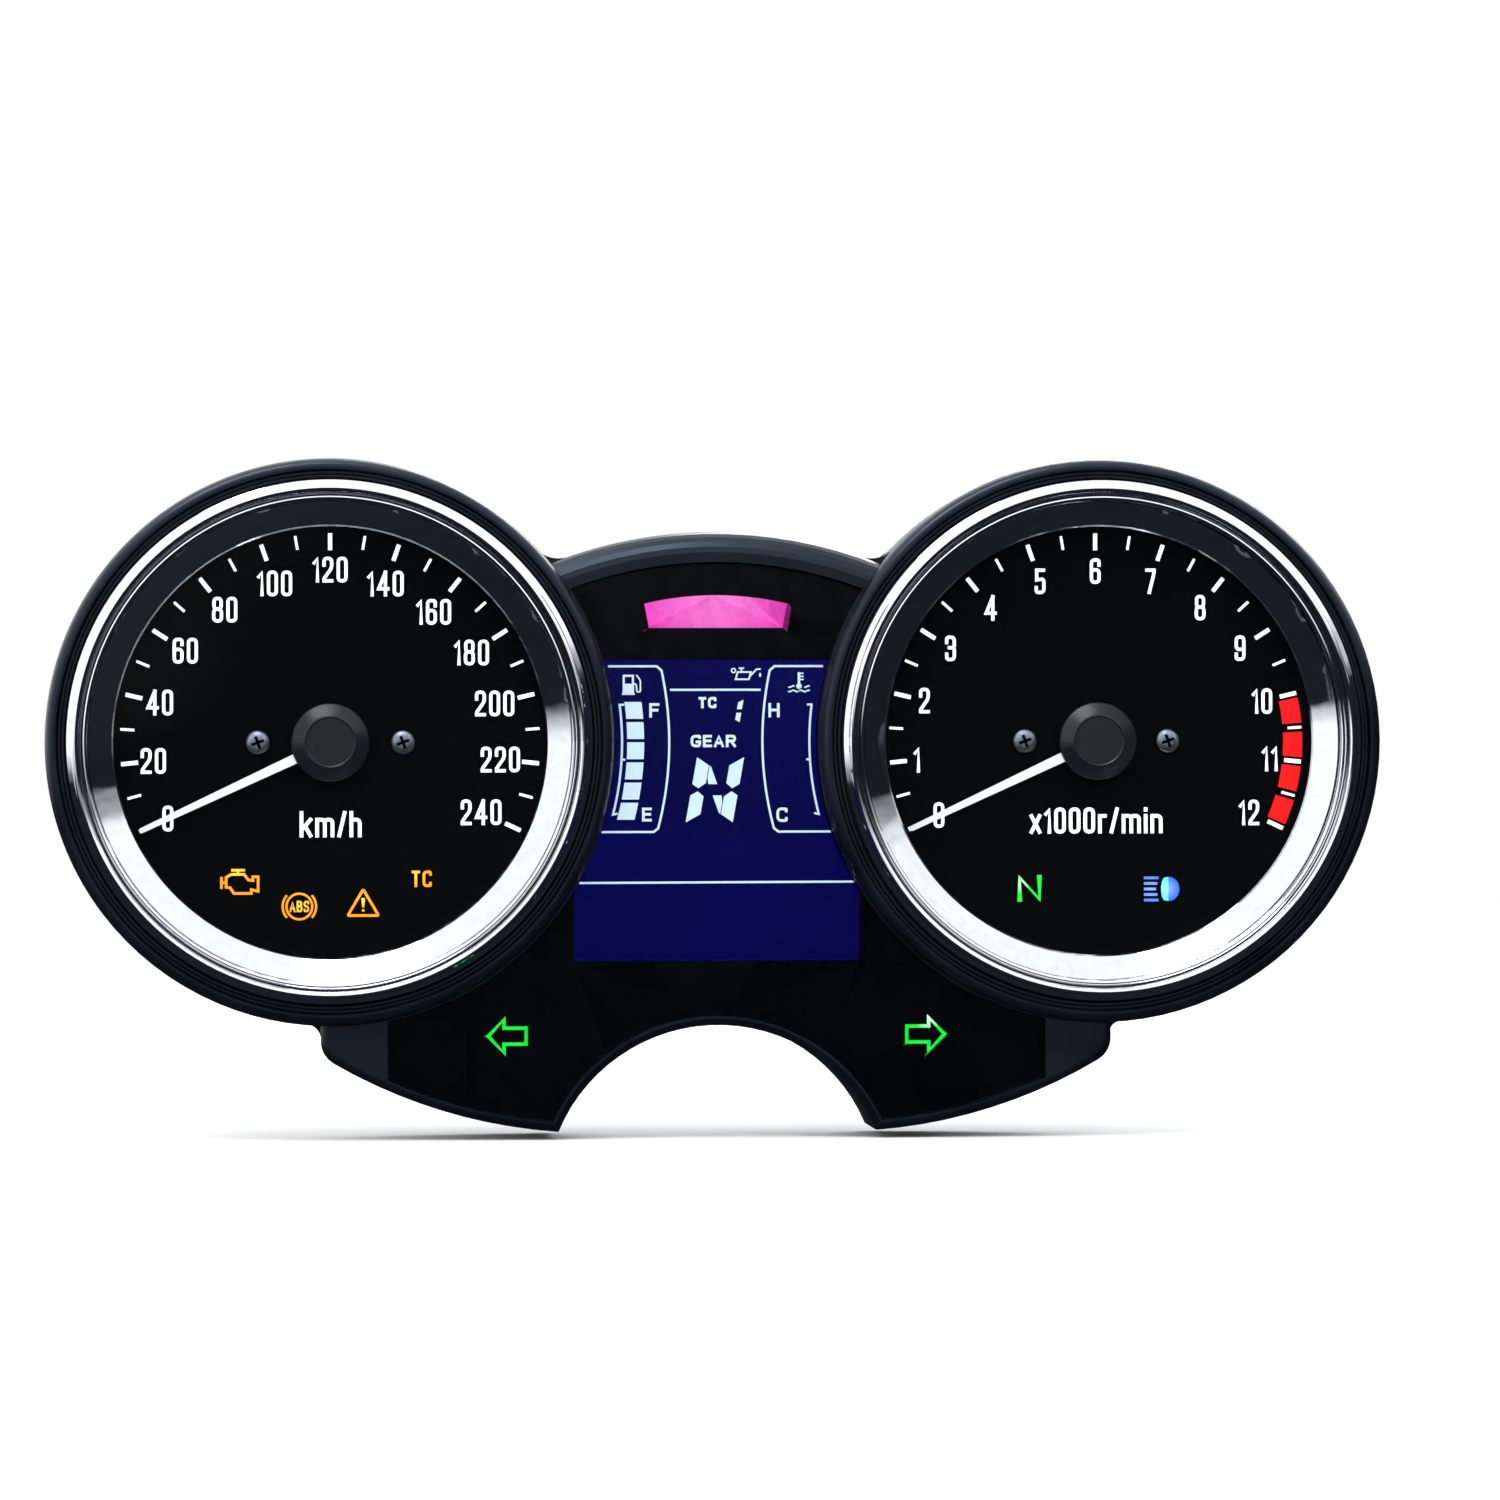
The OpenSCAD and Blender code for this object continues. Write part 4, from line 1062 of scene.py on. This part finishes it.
    def oil_can(self, s: Relief, at: tuple[float, float]) -> None:
        """Draws the oil can: body, ring handle, spout, cap and a drop."""
        x, z = at
        s.ribbon(np.add([(-1.9, 0.45), (-2.3, -0.95), (0.3, -0.95), (0.7, 0.45)], at), 0.32, True)
        s.ribbon(arc((x - 2.7, z + 0.75), 0.4, 0, 360, 16)[:-1], 0.26, True)
        s.strokes(at, (0.3, (0.4, -0.5), (1.8, 1.0), (2.6, 1.05)), (0.3, (-1.7, 1.2), (-0.6, 1.2)),
                  (0.3, (-1.15, 0.4), (-1.15, 1.2)))
        s.plate(arc((x + 2.5, z - 0.1), 0.22, 0, 360, 10, 0.42)[:-1])

    def thermometer(self, s: Relief, at: tuple[float, float]) -> None:
        """Draws the thermometer with its marks over two lines of waves, z = a sin(k x)."""
        x, z = at
        s.strokes(at, (0.5, (0, -0.9), (0, 1.9)))
        s.plate(arc((x, z - 0.8), 0.55, 0, 360, 16)[:-1])
        s.strokes(at, *((0.26, (0.2, level), (0.9, level)) for level in (0.5, 1.1, 1.7)))
        wave = np.linspace(-2.1, 2.1, 29)
        for level, clear in ((-0.9, 0.9), (-1.75, -1.0)):
            for part in (wave[(wave < 0) & (-wave > clear)], wave[(wave >= 0) & (wave > clear)]):
                s.ribbon(np.stack([x + part, z + level + 0.14 * np.sin(part * 4.2)], 1), 0.28)

    def symbols(self) -> None:
        """Draws the fuel pump, the oil can and the coolant thermometer."""
        s = self.relief()
        self.pump(s, (-17.0, 11.1))
        self.oil_can(s, (6.2, 13.1))
        self.thermometer(s, (16.3, 11.6))
        s.piece("display_symbols", SEGMENT_INK, "lcd_glass")

    def dress(self) -> None:
        """Gives the display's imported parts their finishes."""
        low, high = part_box("warning_light_pipe")
        middle = (low + high) / 2 / MM
        bar = LitWindow("warning_acrylic", *Hue.PINK.value, (middle.x, low.y / MM, middle.z), 16, 1.0)
        low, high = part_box("turn_light_pipes")
        right_tip = (high.x / MM - 4.1, low.y / MM, high.z / MM - 1.5)
        arrows = LitWindow("turn_acrylic", *Hue.GREEN.value, right_tip, 2.6, 1.3)
        dress("", {
            WINDOW_CLEAR: "centre_window", MASK_BLACK: "centre_mask", LiquidCrystal(): "lcd_panel",
            WHITE_PC: "lcd_frame inner_frame", GUIDE_CLEAR: "lcd_backlight",
            CONTACT_RUBBER: "lcd_contact_strips", bar: "warning_light_pipe", arrows: "turn_light_pipes"})

    def build(self) -> None:
        """Draws everything the display shows."""
        self.frames()
        self.fuel_bars()
        self.letters()
        self.gear_digit()
        self.symbols()


# ---- housing and inside ---------------------------------------------------


@dataclass
class Housing:
    """Front cover, rear case, fasteners, mounts and the harness socket."""

    rib_radii: tuple[float, ...] = (22.0, 31.0, 39.0)
    rib_half: float = 0.8
    rib_rise: float = 0.5

    def cup_ribs(self, name: str, x: float) -> None:
        """Moulds rings on the back of one rear cup.

        The cup is an ellipse turned round the gauge's axis, h(r) = top - back sqrt(1 - r^2 / R^2).
        Each rib is a loop of a half-round section about it: the section runs round t, at
        r = r0 + half cos t and h(r) - rise sin t, and closes 0.3 mm under the skin.

        Args:
            name: the piece's name.
            x: the gauge's centre.
        """
        low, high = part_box("rear_case")
        rim = high.x / MM - abs(x)
        top = -low.y / MM
        back = high.y / MM + top
        t = np.radians(np.linspace(0, 180, 11))
        turn = np.radians(np.arange(0, 360, 5))
        vertices, faces, count = [], [], 0
        for r0 in self.rib_radii:
            r = r0 + self.rib_half * np.cos(t)
            skin = top - back * np.sqrt(1 - (r / rim) ** 2)
            h = skin - self.rib_rise * np.sin(t)
            r, h = np.r_[r, r[-1], r[0]], np.r_[h, h[-1] + 0.3, h[0] + 0.3]
            grid = np.stack([x + r * np.cos(turn)[:, None], np.broadcast_to(-h, (len(turn), len(h))),
                             r * np.sin(turn)[:, None]], 2)
            i, j = np.meshgrid(np.arange(len(turn)), np.arange(len(r)), indexing="ij")
            ahead, across = (i + 1) % len(turn), (j + 1) % len(r)
            n = len(r)
            faces += (count + np.stack([i * n + j, i * n + across, ahead * n + across, ahead * n + j],
                                       2).reshape(-1, 4)).tolist()
            vertices.append(grid.reshape(-1, 3) * MM)
            count += len(turn) * n
        mesh = bpy.data.meshes.new(name)
        mesh.from_pydata(np.concatenate(vertices).tolist(), [], faces)
        mesh.materials.append(material_of(CASE_ABS))
        mesh.polygons.foreach_set("use_smooth", np.ones(len(mesh.polygons), bool))
        place_piece(mesh, name, HOUSING)

    def build(self) -> None:
        """Moulds the ribs on both cups."""
        for gauge in ("speedo", "tacho"):
            low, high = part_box(gauge + "_dial")
            self.cup_ribs(gauge + "_cup_ribs", (low.x + high.x) / 2 / MM)

    def dress(self) -> None:
        """Gives the housing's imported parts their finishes."""
        dress("", {
            COVER_ABS: "front_cover", CASE_ABS: "rear_case", SEAL_RUBBER: "case_seal",
            ZINC_SCREW: "case_screws", SOCKET_PBT: "socket_shell", TINNED_PIN: "socket_pins",
            VENT_PP: "vent_plug", GROMMET_EPDM: "mount_grommets", SLEEVE_STEEL: "mount_sleeves"})


@dataclass
class Electronics:
    """Circuit board with its lamps and chips, and the two pointer motors."""

    gauges: tuple[str, ...] = ("speedo", "tacho")

    def dress(self) -> None:
        """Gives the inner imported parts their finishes."""
        dress("", {
            BOARD: "circuit_board", LAMP_RESIN: "board_leds", CHIP_EPOXY: "board_chips",
            ZINC_SCREW: "board_screws", DIAL_SCREW: "dial_screws"})
        for gauge in self.gauges:
            dress(gauge, {
                MOTOR_PBT: "_motor_case _motor_lid", STATOR_STEEL: "_motor_stator",
                COIL_COPPER: "_motor_coils", ROTOR_FERRITE: "_rotor",
                GEAR_POM: "_idler_gear _output_gear"})


# ---- studio ---------------------------------------------------------------


@dataclass
class Studio:
    """Pale floor, soft sky light and the camera."""

    camera_at: tuple[float, float, float] = (-0.069, -1.188, -0.0165)
    aim_at: tuple[float, float, float] = (0.0065, -0.055, -0.0017)
    lens_mm: float = 140.0
    roll_deg: float = -0.17
    floor_half: float = 3.0
    floor_gap: float = 0.0015

    def camera(self) -> None:
        """Makes the camera, turned from straight down to its aim and then rolled a little."""
        data = bpy.data.cameras.new("camera")
        data.lens, data.sensor_width = self.lens_mm, 36.0
        data.clip_start, data.clip_end = 0.01, 50.0
        camera = new_object("camera", data)
        aim = Vector(self.aim_at) - Vector(self.camera_at)
        roll = Matrix.Rotation(math.radians(self.roll_deg), 3, "Z")
        turned = aim.to_track_quat("-Z", "Y").to_matrix() @ roll
        camera.matrix_world = Matrix.Translation(self.camera_at) @ turned.to_4x4()
        bpy.context.scene.camera = camera

    def floor(self) -> None:
        """Lays a pale floor just under the cluster; bright metal doesn't mirror it."""
        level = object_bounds()[0].z - self.floor_gap
        half = self.floor_half
        mesh = bpy.data.meshes.new("floor")
        corners = [(x, z, level) for x, z in ((-half, -half), (half, -half), (half, half), (-half, half))]
        mesh.from_pydata(corners, [], [(0, 1, 2, 3)])
        p = Pattern("floor_paint")
        mesh.materials.append(p.principled(
            {"Roughness": 0.7}, {"Base Color": p.blend(p.noise(60, 2), "#F6F7F8", "#F1F2F4")}))
        floor = new_object("floor", mesh)
        floor.visible_glossy = False
        floor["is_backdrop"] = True

    def sky(self) -> None:
        """Lights the scene from above: a white upper half with a wavering lower edge over a dark
        lower half, which gives plated rings their white and black bands. The view behind is pale."""
        world = bpy.data.worlds.new("studio")
        bpy.context.scene.world = world
        world.use_nodes = True
        tree = world.node_tree
        tree.nodes.clear()
        way = add_node(tree, "TexCoord").outputs["Generated"]
        ripple = add_node(tree, "TexNoise", {"Scale": 3.0, "Detail": 3.0}, {"Vector": way}).outputs[0]
        axes = add_node(tree, "SeparateXYZ", None, {0: way})
        tilt = add_math(tree, "MULTIPLY", {1: -0.22}, {0: axes.outputs[0]})
        lift = add_math(tree, "ADD", {}, {0: axes.outputs[2], 1: tilt})
        waver = add_math(tree, "MULTIPLY_ADD", {1: 0.5}, {0: ripple, 2: lift})
        share = add_node(tree, "MapRange", {"From Min": 0.3, "From Max": 0.42}, {"Value": waver})
        shade = add_node(tree, "Mix", {"data_type": "RGBA", 6: (0.012, 0.014, 0.018, 1),
                                       7: (1.2, 1.2, 1.22, 1)}, {0: share.outputs[0]})
        light = add_node(tree, "Background", {"Strength": 1.15}, {"Color": shade.outputs[2]})
        pale = add_node(tree, "Background", {"Color": linear("#FFFFFF")})
        seen = add_node(tree, "LightPath").outputs["Is Camera Ray"]
        both = add_node(tree, "MixShader", None, {0: seen, 1: light.outputs[0], 2: pale.outputs[0]})
        out = add_node(tree, "OutputWorld")
        tree.links.new(both.outputs[0], out.inputs[0])

    def lamp(self, name: str, at: tuple[float, float, float], size: tuple[float, float],
             power: float) -> None:
        """Hangs a soft box that faces the cluster.

        Args:
            name: the lamp's name.
            at: its place in metres.
            size: its width and height.
            power: its power in watts.
        """
        data = bpy.data.lights.new(name, "AREA")
        data.shape, data.size, data.size_y, data.energy = "RECTANGLE", size[0], size[1], power
        turned = (Vector((0, 0, 0)) - Vector(at)).to_track_quat("-Z", "Y").to_matrix().to_4x4()
        new_object(name, data).matrix_world = Matrix.Translation(at) @ turned

    def build(self) -> None:
        """Sets up the floor, the light and the camera."""
        self.camera()
        self.floor()
        self.sky()
        self.lamp("top_box", (-0.35, -0.5, 1.1), (0.9, 0.5), 9.0)
        self.lamp("rear_box", (0.4, 0.9, 0.7), (0.8, 0.5), 7.0)
        bpy.context.scene.view_settings.view_transform = "Standard"


def main() -> None:
    """Builds and dresses each sub-assembly."""
    logging.basicConfig(level=logging.INFO, format="%(name)s: %(message)s")
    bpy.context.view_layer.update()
    speedo = Speedometer("speedo", [str(v) for v in range(0, 260, 20)], "km/h", -15.9, 0.95)
    tacho = Tachometer("tacho", [str(v) for v in range(13)], "x1000r/min", -15.6, 0.97,
                       label_reach=(36.4, 3.0), red_from=10 / 12)
    display = Display()
    housing = Housing()
    for assembly in (housing, speedo, tacho, display):
        assembly.build()
    for assembly in (housing, speedo, tacho, display, Electronics()):
        assembly.dress()
    Studio().build()


if __name__ == "__main__":
    main()
